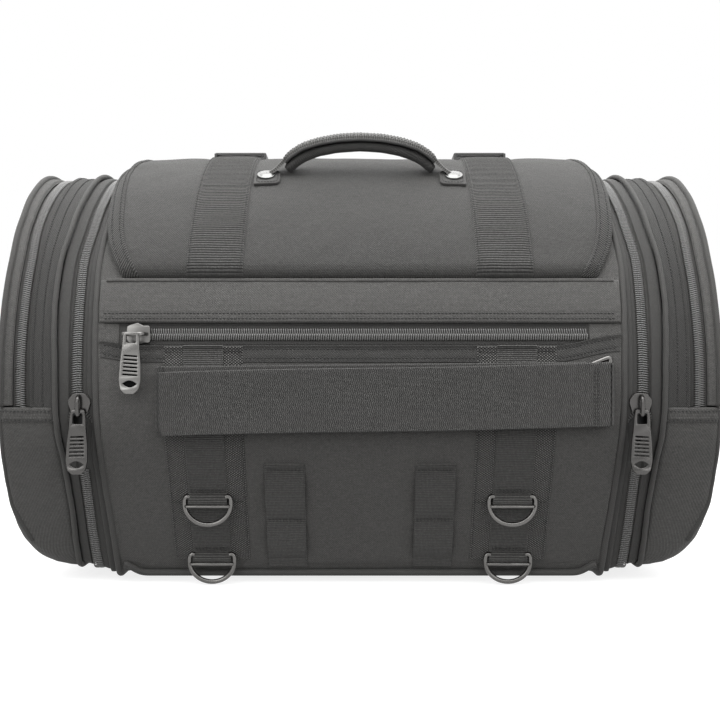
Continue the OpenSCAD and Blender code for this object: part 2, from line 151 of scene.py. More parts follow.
def warp(P):
    """The soft ends don't keep one width: they swell and narrow a little with height."""
    x, z = P[..., 0], P[..., 2]
    ax = np.abs(x)
    zi = np.clip(z, WARP_Z[0], WARP_Z[-1])
    i = np.clip(np.searchsorted(WARP_Z, zi) - 1, 0, len(WARP_Z) - 2)
    t = (zi - WARP_Z[i]) / (WARP_Z[i + 1] - WARP_Z[i])
    t = t * t * (3 - 2 * t)
    j = np.clip(np.searchsorted(WARP_X, ax) - 1, 0, len(WARP_X) - 2)
    u = np.clip((ax - WARP_X[j]) / (WARP_X[j + 1] - WARP_X[j]), 0, 1)
    d = (WARP_D[i, j] * (1 - t) + WARP_D[i + 1, j] * t) * (1 - u) + (WARP_D[i, j + 1] * (1 - t) + WARP_D[i + 1, j + 1] * t) * u
    Q = P.copy()
    Q[..., 0] = x + np.sign(x) * d
    lift = np.interp(ax, [199, 205, 213, 220, 229, 240, 262], [0.0, -2.6, -3.8, -0.2, 3.6, 4.6, 3.4])
    Q[..., 2] = z + lift * (1 - sstep(z, 10, 56))
    return Q


# ---------------------------------------------------------------- mesh tools
def mesh_obj(name, verts, faces, uvs=None, mat=None, smooth=True, warped=True):
    v = np.asarray(verts, float).reshape(-1, 3)
    if warped:
        v = warp(v)
    me = bpy.data.meshes.new(name)
    f = np.asarray(faces, np.int32)
    me.vertices.add(len(v))
    me.vertices.foreach_set("co", (v * MM).astype(np.float32).ravel())
    k = f.shape[1]
    me.loops.add(f.size)
    me.loops.foreach_set("vertex_index", f.ravel())
    me.polygons.add(len(f))
    me.polygons.foreach_set("loop_start", np.arange(0, f.size, k, dtype=np.int32))
    me.polygons.foreach_set("loop_total", np.full(len(f), k, np.int32))
    me.update(calc_edges=True)
    if uvs is not None:
        lay = me.uv_layers.new(name="UVMap")
        lay.data.foreach_set("uv", (np.asarray(uvs, float)[f.ravel()] * 0.01).astype(np.float32).ravel())
    if smooth:
        me.polygons.foreach_set("use_smooth", np.ones(len(f), bool))
    me.validate()
    ob = bpy.data.objects.new(name, me)
    bpy.context.scene.collection.objects.link(ob)
    if mat:
        me.materials.append(mat)
    return ob


class Parts:
    """Collects quads and triangles of many small shapes into one mesh."""

    def __init__(self):
        self.v, self.f, self.uv, self.n = [], [], [], 0

    def add(self, v, f, uv=None):
        v = np.asarray(v, float).reshape(-1, 3)
        f = np.asarray(f, int)
        if f.shape[1] == 3:
            f = np.concatenate([f, f[:, 2:3]], 1)
        self.v.append(v)
        self.f.append(f + self.n)
        self.uv.append(np.asarray(uv, float) if uv is not None else np.stack([v[:, 0], v[:, 2]], 1))
        self.n += len(v)

    def make(self, name, mat, warped=True, smooth=True):
        v, f, uv = np.concatenate(self.v), np.concatenate(self.f), np.concatenate(self.uv)
        tri = f[:, 2] == f[:, 3]
        if warped:
            v = warp(v)
        me = bpy.data.meshes.new(name)
        fl = [tuple(q[:3]) if t else tuple(q) for q, t in zip(f.tolist(), tri.tolist())]
        me.from_pydata((v * MM).tolist(), [], fl)
        lay = me.uv_layers.new(name="UVMap")
        li = np.zeros(len(me.loops), np.int32)
        me.loops.foreach_get("vertex_index", li)
        lay.data.foreach_set("uv", (uv[li] * 0.01).astype(np.float32).ravel())
        if smooth:
            me.polygons.foreach_set("use_smooth", np.ones(len(me.polygons), bool))
        me.validate()
        me.update()
        ob = bpy.data.objects.new(name, me)
        bpy.context.scene.collection.objects.link(ob)
        me.materials.append(mat)
        return ob


def grid_faces(n, m, wrap=False, wrap_v=False):
    a = np.arange(n * m).reshape(n, m)
    i0 = a if wrap else a[:-1]
    i1 = np.roll(a, -1, 0) if wrap else a[1:]
    if wrap_v:
        j = lambda q: np.roll(q, -1, 1)
        return np.stack([i0, i1, j(i1), j(i0)], -1).reshape(-1, 4)
    return np.stack([i0[:, :-1], i1[:, :-1], i1[:, 1:], i0[:, 1:]], -1).reshape(-1, 4)


def apply_mods(ob):
    bpy.context.view_layer.update()
    dg = bpy.context.evaluated_depsgraph_get()
    me = bpy.data.meshes.new_from_object(ob.evaluated_get(dg))
    old = ob.data
    ob.modifiers.clear()
    ob.data = me
    me.name = old.name
    bpy.data.meshes.remove(old)
    return ob


def fix_normals(ob):
    bm = bmesh.new()
    bm.from_mesh(ob.data)
    bmesh.ops.recalc_face_normals(bm, faces=bm.faces)
    bm.to_mesh(ob.data)
    bm.free()
    return ob


def axis_pts(a, b, step, e):
    """Sample positions from a to b, closer together within e of each end."""
    n = max(1, int(round((b - a - 2 * e) / step)))
    mid = np.linspace(a + e, b - e, n + 1)
    k = np.array([0, 0.06, 0.2, 0.42, 0.7]) * e
    return np.concatenate([a + k, mid, (b - k)[::-1]])


def edge_drop(d, e):
    """1 inside, falling in a quarter circle to 0 at the edge."""
    t = np.clip(d / e, 0, 1)
    return np.sqrt(np.clip(1 - (1 - t) ** 2, 0, 1))


def slab(name, mapping, u, v, top, bot, e, mat, uvoff=(0, 0), rnd=(1, 1, 1, 1), uvswap=False, parts=None):
    """A sheet with thickness. mapping(U, V, O) gives points; top(U, V) is the offset of its face and bot that of its back."""
    U, V = np.meshgrid(u, v, indexing="ij")
    T = top(U, V) if callable(top) else np.full(U.shape, float(top))
    B = bot(U, V) if callable(bot) else np.full(U.shape, float(bot))
    big = np.full(U.shape, 1e6)
    d = edge_drop(np.minimum(np.minimum(U - u[0] if rnd[0] else big, u[-1] - U if rnd[1] else big),
                             np.minimum(V - v[0] if rnd[2] else big, v[-1] - V if rnd[3] else big)), e)
    O = B + (T - B) * d
    P1 = mapping(U, V, O)
    P0 = mapping(U, V, B)
    n, m = U.shape
    f1 = grid_faces(n, m)
    k = n * m
    f0 = f1[:, ::-1] + k
    a = np.arange(k).reshape(n, m)
    loop = np.concatenate([a[:-1, 0], a[-1, :-1], a[:0:-1, -1], a[0, :0:-1]])
    nxt = np.roll(loop, -1)
    side = np.stack([nxt, loop, loop + k, nxt + k], 1)
    uv = np.stack([U.ravel() + uvoff[0], V.ravel() + uvoff[1]], 1)
    if uvswap:
        uv = uv[:, ::-1]
    vv = np.concatenate([P1.reshape(-1, 3), P0.reshape(-1, 3)])
    ff = np.concatenate([f1, f0, side])
    uvs = np.concatenate([uv, uv])
    if parts is not None:
        parts.add(vv, ff, uvs)
        return None
    ob = mesh_obj(name, vv, ff, uvs, mat)
    return fix_normals(ob)


def body_map(U, V, O):
    """U is x, V is arc length along the outline, O the stand-off."""
    y, z = OUT.at(V, O)
    return np.stack([U + 0 * y, y, z], -1)


def frames(path, closed=False, up=None):
    p = np.asarray(path, float)
    t = np.roll(p, -1, 0) - np.roll(p, 1, 0) if closed else np.gradient(p, axis=0)
    t /= np.linalg.norm(t, axis=1)[:, None] + 1e-12
    if up is not None:
        n = np.asarray(up, float) * np.ones_like(p)
        n = n - (n * t).sum(1)[:, None] * t
        n /= np.linalg.norm(n, axis=1)[:, None] + 1e-12
        return t, n, np.cross(t, n)
    n = np.zeros_like(p)
    a = np.array([0, 0, 1.0]) if abs(t[0, 2]) < 0.9 else np.array([0, 1.0, 0])
    v = a - a.dot(t[0]) * t[0]
    n[0] = v / np.linalg.norm(v)
    for i in range(1, len(p)):
        v = n[i - 1] - n[i - 1].dot(t[i]) * t[i]
        n[i] = v / np.linalg.norm(v)
    return t, n, np.cross(t, n)


def sweep(parts, path, sec, closed=False, up=None, scale=None, cap=True, uvs=1.0):
    """Sweeps a closed section, given as (side, up) pairs, along a path."""
    p = np.asarray(path, float)
    t, n, b = frames(p, closed, up)
    sec = np.asarray(sec, float)
    k = len(sec)
    sc = np.ones(len(p)) if scale is None else np.asarray(scale, float)
    V = p[:, None, :] + (sec[None, :, 0] * sc[:, None])[..., None] * b[:, None, :] + (sec[None, :, 1] * sc[:, None])[..., None] * n[:, None, :]
    f = grid_faces(len(p), k, wrap=closed, wrap_v=True)
    d = np.r_[0, np.cumsum(np.linalg.norm(np.diff(p, axis=0), axis=1))]
    cs = np.r_[0, np.cumsum(np.linalg.norm(np.diff(np.vstack([sec, sec[:1]]), axis=0), axis=1))][:k]
    uv = np.stack([np.repeat(cs[None, :], len(p), 0).ravel(), np.repeat(d[:, None], k, 1).ravel()], 1)
    v = V.reshape(-1, 3)
    if not closed and cap:
        c0, c1 = len(v), len(v) + 1
        v = np.concatenate([v, p[:1], p[-1:]])
        uv = np.concatenate([uv, [[0, 0], [0, d[-1]]]])
        i = np.arange(k)
        j = (i + 1) % k
        e = (len(p) - 1) * k
        f = np.concatenate([f, np.stack([np.full(k, c0), i, j, j], 1), np.stack([np.full(k, c1), e + j, e + i, e + i], 1)])
    parts.add(v, f, uv)


def circle(r, n=12, sx=1.0, sy=1.0):
    a = np.linspace(0, 2 * np.pi, n, endpoint=False)
    return np.stack([r * sx * np.cos(a), r * sy * np.sin(a)], 1)


STITCH_N = np.array([-1.0, -0.8, -0.3, 0.3, 0.8, 1.0])


def stitches(parts, path, up, pitch=3.0, length=1.8, r=0.56, lift=0.10, start=0.0):
    """A row of thread stitches along a path that lies on a surface with normals up."""
    p = np.asarray(path, float)
    up = np.asarray(up, float) * np.ones_like(p)
    d = np.r_[0, np.cumsum(np.linalg.norm(np.diff(p, axis=0), axis=1))]
    n = int((d[-1] - start - length) / pitch) + 1
    if n < 1:
        return
    c = start + length / 2 + np.arange(n) * pitch
    P = np.stack([np.interp(c, d, p[:, i]) for i in range(3)], 1)
    N = np.stack([np.interp(c, d, up[:, i]) for i in range(3)], 1)
    N /= np.linalg.norm(N, axis=1)[:, None]
    T = np.stack([np.interp(c + 0.3, d, p[:, i]) - np.interp(c - 0.3, d, p[:, i]) for i in range(3)], 1)
    T /= np.linalg.norm(T, axis=1)[:, None] + 1e-12
    B = np.cross(T, N)
    # a slight twist and jitter, as real thread has
    j = rng.normal(0, 0.05, (n, 2))
    P = P + B * j[:, :1]
    tw = 0.10
    T = T + B * tw
    T /= np.linalg.norm(T, axis=1)[:, None]
    B = np.cross(T, N)
    k = 6
    a = np.linspace(0, 2 * np.pi, k, endpoint=False)
    ring_r = np.array([0.12, 0.72, 1.0, 1.0, 0.72, 0.12]) * r
    h = np.array([-0.9, -0.1, 0.25, 0.25, -0.1, -0.9]) * r
    x = STITCH_N * length / 2
    V = (P[:, None, None, :] + x[None, :, None, None] * T[:, None, None, :]
         + (ring_r[None, :, None, None] * np.cos(a)[None, None, :, None] * B[:, None, None, :])
         + ((ring_r[None, :, None] * np.sin(a)[None, None, :] + (h + lift)[None, :, None])[..., None] * N[:, None, None, :]))
    nr = len(x)
    base = grid_faces(nr, k, wrap_v=True)
    cap0 = np.array([[0, 2, 1, 1], [0, 3, 2, 2], [0, 4, 3, 3], [0, 5, 4, 4]])
    e = (nr - 1) * k
    cap1 = np.array([[e, e + 1, e + 2, e + 2], [e, e + 2, e + 3, e + 3], [e, e + 3, e + 4, e + 4], [e, e + 4, e + 5, e + 5]])
    one = np.concatenate([base, cap0, cap1])
    F = (one[None] + (np.arange(n) * nr * k)[:, None, None]).reshape(-1, 4)
    v = V.reshape(-1, 3)
    parts.add(v, F, np.stack([v[:, 0], v[:, 2]], 1))


def body_line(x, s, o):
    """Points and normals on the outline surface for lines given by x, s and stand-off."""
    x, s, o = np.broadcast_arrays(np.asarray(x, float), np.asarray(s, float), np.asarray(o, float))
    y, z = OUT.at(s, o)
    y1, z1 = OUT.at(s, o + 1)
    P = np.stack([x, y, z], -1)
    return P, np.stack([0 * x, y1 - y, z1 - z], -1)


def nz(x, y, seed=0.0, octaves=3):
    """Smooth, deterministic waves, for soft unevenness."""
    r = np.zeros(np.broadcast(x, y).shape)
    k = 1.0
    for i in range(octaves):
        a = 1.7 + 0.9 * i + seed
        r = r + (np.sin(x * k + 1.3 * a + 1.9 * np.sin(y * k * 0.7 + a)) * np.cos(y * k * 0.9 + 2.1 * a + 1.3 * np.sin(x * k * 0.6 - a))) / (1.6 ** i)
        k *= 1.9
    return r / 2.0


# ---------------------------------------------------------------- materials
def new_mat(name):
    m = bpy.data.materials.new(name)
    m.use_nodes = True
    nt = m.node_tree
    nt.nodes.clear()
    out = nt.nodes.new("ShaderNodeOutputMaterial")
    bsdf = nt.nodes.new("ShaderNodeBsdfPrincipled")
    nt.links.new(bsdf.outputs[0], out.inputs[0])
    return m, nt, bsdf


def N(nt, kind, **kw):
    n = nt.nodes.new(kind)
    for k, v in kw.items():
        if k.startswith("i_"):
            n.inputs[k[2:].replace("_", " ")].default_value = v
        else:
            setattr(n, k, v)
    return n


def M(nt, op, a, b=None, c=None, clamp=False):
    n = nt.nodes.new("ShaderNodeMath")
    n.operation = op
    n.use_clamp = clamp
    for i, v in enumerate((a, b, c)):
        if v is None:
            continue
        if isinstance(v, (int, float)):
            n.inputs[i].default_value = float(v)
        else:
            nt.links.new(v, n.inputs[i])
    return n.outputs[0]


def uv_mm(nt):
    t = N(nt, "ShaderNodeTexCoord")
    s = N(nt, "ShaderNodeSeparateXYZ")
    nt.links.new(t.outputs["UV"], s.inputs[0])
    return M(nt, "MULTIPLY", s.outputs[0], 100.0), M(nt, "MULTIPLY", s.outputs[1], 100.0), t


def wave(nt, x, period, phase=0.0):
    a = M(nt, "MULTIPLY_ADD", x, 2 * math.pi / period, phase)
    return M(nt, "MULTIPLY_ADD", M(nt, "SINE", a), 0.5, 0.5)


def finish_cloth(nt, bsdf, h, col, t, var=0.16, rough=0.84, bump=0.5, dist=0.0003, sheen=0.10, blotch=0.08, dark=0.4, fuzz=0.1, spec=0.35, slub=0.22, su=(1.1, 0.22)):
    """Colour from the weave height, darker in the hollows between yarns as painted shade, with uneven yarns, soft
    blotches and fibre grain.
    """
    nb = N(nt, "ShaderNodeTexNoise", i_Scale=11.0, i_Detail=4.0, i_Roughness=0.6)
    nt.links.new(t.outputs["Object"], nb.inputs["Vector"])
    nf = N(nt, "ShaderNodeTexNoise", i_Scale=850.0, i_Detail=2.0, i_Roughness=0.7)
    nt.links.new(t.outputs["Object"], nf.inputs["Vector"])
    sp = N(nt, "ShaderNodeSeparateXYZ")
    nt.links.new(t.outputs["UV"], sp.inputs[0])
    yarn = []
    for a_, b_, z_ in ((su[0], su[1], 0.0), (su[1], su[0], 3.7)):
        cb = N(nt, "ShaderNodeCombineXYZ")
        nt.links.new(M(nt, "MULTIPLY", sp.outputs[0], 100.0 * a_), cb.inputs[0])
        nt.links.new(M(nt, "MULTIPLY", sp.outputs[1], 100.0 * b_), cb.inputs[1])
        cb.inputs[2].default_value = z_
        q = N(nt, "ShaderNodeTexNoise", i_Scale=1.0, i_Detail=2.0, i_Roughness=0.6)
        nt.links.new(cb.outputs[0], q.inputs["Vector"])
        yarn.append(q.outputs[0])
    ys = M(nt, "MULTIPLY_ADD", M(nt, "ADD", yarn[0], yarn[1]), 2 * slub, 1 - 2 * slub)
    # the colour falls with the weave height down to the fraction dark in the hollows: painted shade
    a = M(nt, "MULTIPLY_ADD", h, 1 - dark, dark)
    b = M(nt, "MULTIPLY_ADD", nb.outputs[0], 2 * blotch, 1 - blotch)
    c = M(nt, "MULTIPLY_ADD", nf.outputs[0], 2 * var, 1 - var)
    k = M(nt, "MULTIPLY", M(nt, "MULTIPLY", M(nt, "MULTIPLY", a, b), c), ys, clamp=False)
    mix = N(nt, "ShaderNodeMix", data_type="RGBA", blend_type="MIX")
    mix.inputs[6].default_value = (0, 0, 0, 1)
    mix.inputs[7].default_value = (col[0] * 2.0, col[1] * 2.0, col[2] * 2.0, 1)
    nt.links.new(M(nt, "MULTIPLY", k, 0.5, clamp=True), mix.inputs[0])
    nt.links.new(mix.outputs[2], bsdf.inputs["Base Color"])
    hh = M(nt, "MULTIPLY_ADD", nf.outputs[0], 0.25 + fuzz, M(nt, "MULTIPLY_ADD", ys, 0.35, h))
    bp = N(nt, "ShaderNodeBump", i_Strength=bump, i_Distance=dist)
    nt.links.new(hh, bp.inputs["Height"])
    nt.links.new(bp.outputs[0], bsdf.inputs["Normal"])
    r = M(nt, "MULTIPLY_ADD", h, -0.14, rough)
    nt.links.new(r, bsdf.inputs["Roughness"])
    bsdf.inputs["Specular IOR Level"].default_value = spec
    bsdf.inputs["Sheen Weight"].default_value = sheen
    bsdf.inputs["Sheen Roughness"].default_value = 0.45
    bsdf.inputs["Sheen Tint"].default_value = (0.95, 0.95, 0.93, 1)


def weave_mat(name, col, p=1.15, **kw):
    """Ballistic nylon: a plain weave of round yarns."""
    m, nt, bsdf = new_mat(name)
    u, v, t = uv_mm(nt)
    n = N(nt, "ShaderNodeTexNoise", i_Scale=120.0, i_Detail=1.0)
    nt.links.new(t.outputs["Object"], n.inputs["Vector"])
    wob = M(nt, "MULTIPLY_ADD", n.outputs[0], 0.5, -0.25)
    uu, vv = M(nt, "ADD", u, wob), M(nt, "ADD", v, wob)
    su = M(nt, "SINE", M(nt, "MULTIPLY", uu, math.pi / p))
    sv = M(nt, "SINE", M(nt, "MULTIPLY", vv, math.pi / p))
    over = M(nt, "MULTIPLY", su, sv)                       # which yarn is on top
    warp_h = M(nt, "ABSOLUTE", su)
    weft_h = M(nt, "ABSOLUTE", sv)
    h = M(nt, "MULTIPLY_ADD", over, 0.32, M(nt, "MULTIPLY_ADD", warp_h, 0.34, M(nt, "MULTIPLY", weft_h, 0.34)))
    finish_cloth(nt, bsdf, h, col, t, **kw)
    return m


def twill_mat(name, col, p=1.5, ang=1.0, **kw):
    """Diagonal twill."""
    m, nt, bsdf = new_mat(name)
    u, v, t = uv_mm(nt)
    d = M(nt, "MULTIPLY_ADD", u, ang, v)
    e = M(nt, "MULTIPLY_ADD", u, -ang, v)
    w = wave(nt, d, p)
    w2 = wave(nt, e, p * 0.8)
    h = M(nt, "MULTIPLY_ADD", M(nt, "POWER", w, 1.4), 0.55, M(nt, "MULTIPLY", M(nt, "MULTIPLY", w, w2), 0.45))
    finish_cloth(nt, bsdf, h, col, t, **kw)
    return m


def rib_mat(name, col, kind="rib", pitch=2.3, p_across=1.0, **kw):
    """Webbing: the same rows as the mesh's relief, darker in the grooves as painted shade, with the yarns across them.
    """
    m, nt, bsdf = new_mat(name)
    u, v, t = uv_mm(nt)
    n = N(nt, "ShaderNodeTexNoise", i_Scale=500.0, i_Detail=2.0)
    nt.links.new(t.outputs["Object"], n.inputs["Vector"])
    if kind == "zigzag":
        fr = M(nt, "FRACT", M(nt, "DIVIDE", u, 5.4))
        tr = M(nt, "MULTIPLY", M(nt, "ABSOLUTE", M(nt, "SUBTRACT", fr, 0.5)), 2.0)
        ph = M(nt, "ADD", M(nt, "DIVIDE", v, 1.62), M(nt, "MULTIPLY", tr, 0.62))
        g = M(nt, "POWER", M(nt, "ABSOLUTE", M(nt, "SINE", M(nt, "MULTIPLY", ph, math.pi))), 0.7)
    elif kind == "dots":
        fl_ = M(nt, "FLOOR", M(nt, "DIVIDE", u, 1.35))
        a_ = M(nt, "SINE", M(nt, "ADD", M(nt, "MULTIPLY", v, 2 * math.pi / 2.1), M(nt, "MULTIPLY", fl_, math.pi)))
        b_ = M(nt, "POWER", M(nt, "ABSOLUTE", M(nt, "SINE", M(nt, "MULTIPLY", u, math.pi / 1.35))), 0.5)
        g = M(nt, "MULTIPLY", M(nt, "MULTIPLY_ADD", a_, 0.5, 0.5), b_)
    else:
        g = M(nt, "POWER", M(nt, "ABSOLUTE", M(nt, "SINE", M(nt, "MULTIPLY", v, math.pi / pitch))), 0.7)
    w = wave(nt, M(nt, "ADD", u, M(nt, "MULTIPLY", n.outputs[0], 0.3)), p_across)
    h = M(nt, "MULTIPLY", g, M(nt, "MULTIPLY_ADD", w, 0.4, M(nt, "MULTIPLY_ADD", n.outputs[0], 0.4, 0.4)))
    finish_cloth(nt, bsdf, h, col, t, **kw)
    return m


def plain_mat(name, col, rough=0.5, metallic=0.0, bump=0.15, scale=600.0, spec=0.5, var=0.15, dist=0.0001, coat=0.0):
    m, nt, bsdf = new_mat(name)
    t = N(nt, "ShaderNodeTexCoord")
    n1 = N(nt, "ShaderNodeTexNoise", i_Scale=scale, i_Detail=3.0)
    n2 = N(nt, "ShaderNodeTexNoise", i_Scale=35.0, i_Detail=4.0, i_Roughness=0.65)
    for n in (n1, n2):
        nt.links.new(t.outputs["Object"], n.inputs["Vector"])
    k = M(nt, "MULTIPLY_ADD", n2.outputs[0], 2 * var, 1 - var)
    mix = N(nt, "ShaderNodeMix", data_type="RGBA", blend_type="MIX")
    mix.inputs[6].default_value = (0, 0, 0, 1)
    mix.inputs[7].default_value = (*[c * 1.25 for c in col], 1)
    nt.links.new(M(nt, "MULTIPLY", k, 0.8), mix.inputs[0])
    nt.links.new(mix.outputs[2], bsdf.inputs["Base Color"])
    r = M(nt, "MULTIPLY_ADD", n2.outputs[0], 0.16, rough - 0.08)
    r = M(nt, "MULTIPLY_ADD", n1.outputs[0], 0.08, M(nt, "SUBTRACT", r, 0.04))
    nt.links.new(r, bsdf.inputs["Roughness"])
    bp = N(nt, "ShaderNodeBump", i_Strength=bump, i_Distance=dist)
    nt.links.new(n1.outputs[0], bp.inputs["Height"])
    nt.links.new(bp.outputs[0], bsdf.inputs["Normal"])
    bsdf.inputs["Metallic"].default_value = metallic
    bsdf.inputs["Specular IOR Level"].default_value = spec
    bsdf.inputs["Coat Weight"].default_value = coat
    return m


G = 1.0


def tone(k, warm=1.0):
    return (0.0620 * k, 0.0605 * k, 0.0578 * k)


BODY = weave_mat("body_fabric", tone(1.12), p=1.0, bump=0.8, dist=0.0005, dark=0.6, var=0.6, slub=0.42)
# the lid's weave is the body weave darkened: painted shade that offsets the stronger top light on the lid
LID_SHADED = weave_mat("lid_fabric_painted_shade", tone(0.72), p=1.0, bump=0.9, dist=0.0006, dark=0.6, var=0.65, slub=0.5)
TWILL = twill_mat("twill_binding", tone(1.5), p=2.1, bump=1.0, dist=0.0008, dark=0.08, var=0.55, slub=0.2)
GUSSET = twill_mat("gusset_twill", tone(1.15), p=1.5, bump=1.0, dist=0.0007, dark=0.2, var=0.55)
PIPE = weave_mat("piping_cloth", tone(0.95), p=0.9, bump=0.5, dist=0.0003, dark=0.4)
TAPE = twill_mat("zip_tape", tone(0.8), p=1.2, bump=0.5, dist=0.0003, dark=0.45)
COIL = plain_mat("zip_coil", tone(0.98), rough=0.3, bump=0.1, spec=0.8)
WEB = rib_mat("webbing_rib", tone(1.02), pitch=2.3, bump=1.0, dist=0.0010, dark=0.0, slub=0.3, var=0.7, p_across=1.05)
WEBF = rib_mat("webbing_fine", tone(1.26), pitch=1.55, bump=1.0, dist=0.0009, dark=0.0, slub=0.3, var=0.65, p_across=1.05)
WEBZ = rib_mat("webbing_wide", tone(2.9), kind="dots", p_across=1.3, bump=1.0, dist=0.0009, dark=0.0, slub=0.25, var=0.6)
CINCH = rib_mat("webbing_zigzag", tone(1.28), kind="zigzag", p_across=0.9, bump=1.0, dist=0.0012, dark=0.0, slub=0.35, var=0.75)
# a darker copy of the zigzag webbing: painted shade for the under layer, which lies in the front layer's shadow
CINCH_SHADED = rib_mat("webbing_zigzag_painted_shade", tone(0.95), kind="zigzag", p_across=0.9, bump=0.8, dist=0.0006, dark=0.2, slub=0.2, var=0.35)
HWEB = rib_mat("webbing_handle", tone(1.3), pitch=1.9, bump=0.8, dist=0.0006, dark=0.15, slub=0.15, var=0.3)
THREAD = plain_mat("thread", tone(0.18), rough=0.6, bump=0.5, scale=1500.0, spec=0.4)
THREAD_D = plain_mat("thread_dark", tone(0.45), rough=0.6, bump=0.5, scale=1500.0, spec=0.4)
LINER = plain_mat("lining", (0.10, 0.10, 0.10), rough=0.75, bump=0.4, scale=700.0, spec=0.3)
SLEEVE = plain_mat("sleeve_nylon", (0.03, 0.03, 0.03), rough=0.55, bump=0.4, scale=900.0)
METAL = plain_mat("gunmetal", (0.070, 0.068, 0.066), rough=0.27, metallic=1.0, bump=0.06, scale=900.0)
METALF = plain_mat("gunmetal_front", (0.15, 0.147, 0.142), rough=0.3, metallic=1.0, bump=0.06, scale=900.0)
# near black, for a plate behind the front pull's slots: painted shade seen through them
SLOT_SHADE_PLATE = plain_mat("slot_painted_shade", (0.004, 0.004, 0.004), rough=0.9, bump=0.1, spec=0.05)
WIRE = plain_mat("dark_nickel", (0.115, 0.112, 0.108), rough=0.24, metallic=1.0, bump=0.05, scale=700.0)
CHROME = plain_mat("chrome", (0.21, 0.21, 0.205), rough=0.24, metallic=1.0, bump=0.0, var=0.03)
PLASTIC = plain_mat("acetal", (0.035, 0.034, 0.033), rough=0.42, bump=0.25, scale=900.0)
RUBBER = plain_mat("rubber", (0.02, 0.02, 0.02), rough=0.8, bump=0.4, scale=500.0)


def done(ob, body, *nodes, slot=None):
    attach(ob, body)
    if nodes:
        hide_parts(*nodes)
    return ob


# ---------------------------------------------------------------- the body shell and its panels
def at_wrapped(self, s, o=0.0):
    s = np.mod(np.asarray(s, float), self.L)
    y = np.interp(s, self.s, self.p[:, 0])
    z = np.interp(s, self.s, self.p[:, 1])
    ny = np.interp(s, self.s, self.n[:, 0])
    nz_ = np.interp(s, self.s, self.n[:, 1])
    return y + o * ny, z + o * nz_


OUT.at = at_wrapped.__get__(OUT)
S_OPEN = float(np.interp(95, -OUT.p[:120, 0], OUT.s[:120]))
S_TOPW, S_BOTW = sz(212), sz(60)


def soft(U, V, a=0.7, sx=0.035, sv=0.04, seed=0.0):
    return a * nz(U * sx, V * sv, seed)


def ring_sheet(name, x0, x1, off, thick, mat, hole=None, step=4.0, sstep_=4.0, s0=None, s1=None, uvoff=0.0):
    """A sheet round the outline, with an optional hole, given an inward thickness."""
    u = axis_pts(x0, x1, step, 4)
    full = s0 is None
    v = np.linspace(0, OUT.L, int(OUT.L / sstep_) + 1)[:-1] if full else axis_pts(s0, s1, sstep_, 4)
    U, V = np.meshgrid(u, v, indexing="ij")
    O = off(U, V) if callable(off) else np.full(U.shape, float(off))
    P = body_map(U, V, O)
    n, m = U.shape
    f = grid_faces(n, m, wrap_v=False)
    if full:
        a = np.arange(n * m).reshape(n, m)
        f = np.concatenate([f, np.stack([a[:-1, -1], a[1:, -1], a[1:, 0], a[:-1, 0]], -1)])
    if hole is not None:
        fu = U.ravel()[f].mean(1)
        fv = V.ravel()[f]
        fv = np.where(fv.max(1, keepdims=True) - fv > OUT.L / 2, fv + OUT.L, fv).mean(1) % OUT.L
        f = f[~hole(fu, fv)]
    ob = mesh_obj(name, P, f, np.stack([U.ravel(), V.ravel() + uvoff], 1), mat)
    md = ob.modifiers.new("s", "SOLIDIFY")
    md.thickness = thick * MM
    md.offset = 0.0
    apply_mods(ob)
    bm = bmesh.new()
    bm.from_mesh(ob.data)
    bmesh.ops.delete(bm, geom=[w for w in bm.verts if not w.link_faces], context="VERTS")
    bmesh.ops.recalc_face_normals(bm, faces=bm.faces)
    bm.to_mesh(ob.data)
    bm.free()
    return ob


def shell_off(U, V):
    inside = sstep(200 - np.abs(U), 0, 4) * sstep(V, S_TOPW - 16, S_TOPW - 12) * (1 - sstep(V, HALF - 128, HALF - 118))
    under = sstep(V, HALF - 95, HALF - 60) * (1 - sstep(V, HALF + 60, HALF + 95))
    return -0.6 + soft(U, V, 0.7) * (1 - under) - 2.6 * inside


def top_hole(u, v):
    return (np.abs(u) < 150) & ((v < S_OPEN) | (v > OUT.L - S_OPEN))


shell = ring_sheet("shell_fabric", -204, 204, shell_off, 1.2, BODY, hole=top_hole)
done(shell, "bag_body", "main_shell")

liner = ring_sheet("liner_padding", -203.5, 203.5, lambda U, V: -6.4 + soft(U, V, 0.35, 0.05, 0.05, 2.0), 6.0, LINER, hole=top_hole, step=8, sstep_=6)
done(liner, "bag_body", "padded_liner")

# binding round the opening under the lid
P = Parts()
rim = []
for x, s in ([(x, S_OPEN) for x in np.linspace(-142, 142, 40)] + [(150 * 1.0, s) for s in np.linspace(S_OPEN - 8, -(S_OPEN - 8), 40)]
             + [(x, -S_OPEN) for x in np.linspace(142, -142, 40)] + [(-150, s) for s in np.linspace(-(S_OPEN - 8), S_OPEN - 8, 40)]):
    y, z = OUT.at(s, -4.2)
    rim.append([x, float(y), float(z)])
rim = np.array(rim)
sweep(P, rim, circle(1.0, 12, 2.4, 5.2), closed=True, up=(0, 0, 1))
rimb = P.make("opening_binding", TWILL)
done(rimb, "bag_body")

# front panel with the pocket, from its folded top edge down to the bottom piping
SB = sz(FOOT_Z - 3.0)


def panel_top(x):
    return sz(196.6) - 8.4 * sstep(x, 150, 203) - 3.6 * sstep(-x, 176, 203)


def panel_map(U, V, O):
    st = panel_top(U)
    s = st + (SB - st) * V
    # rounded lower corners
    return body_map(U, s, O)


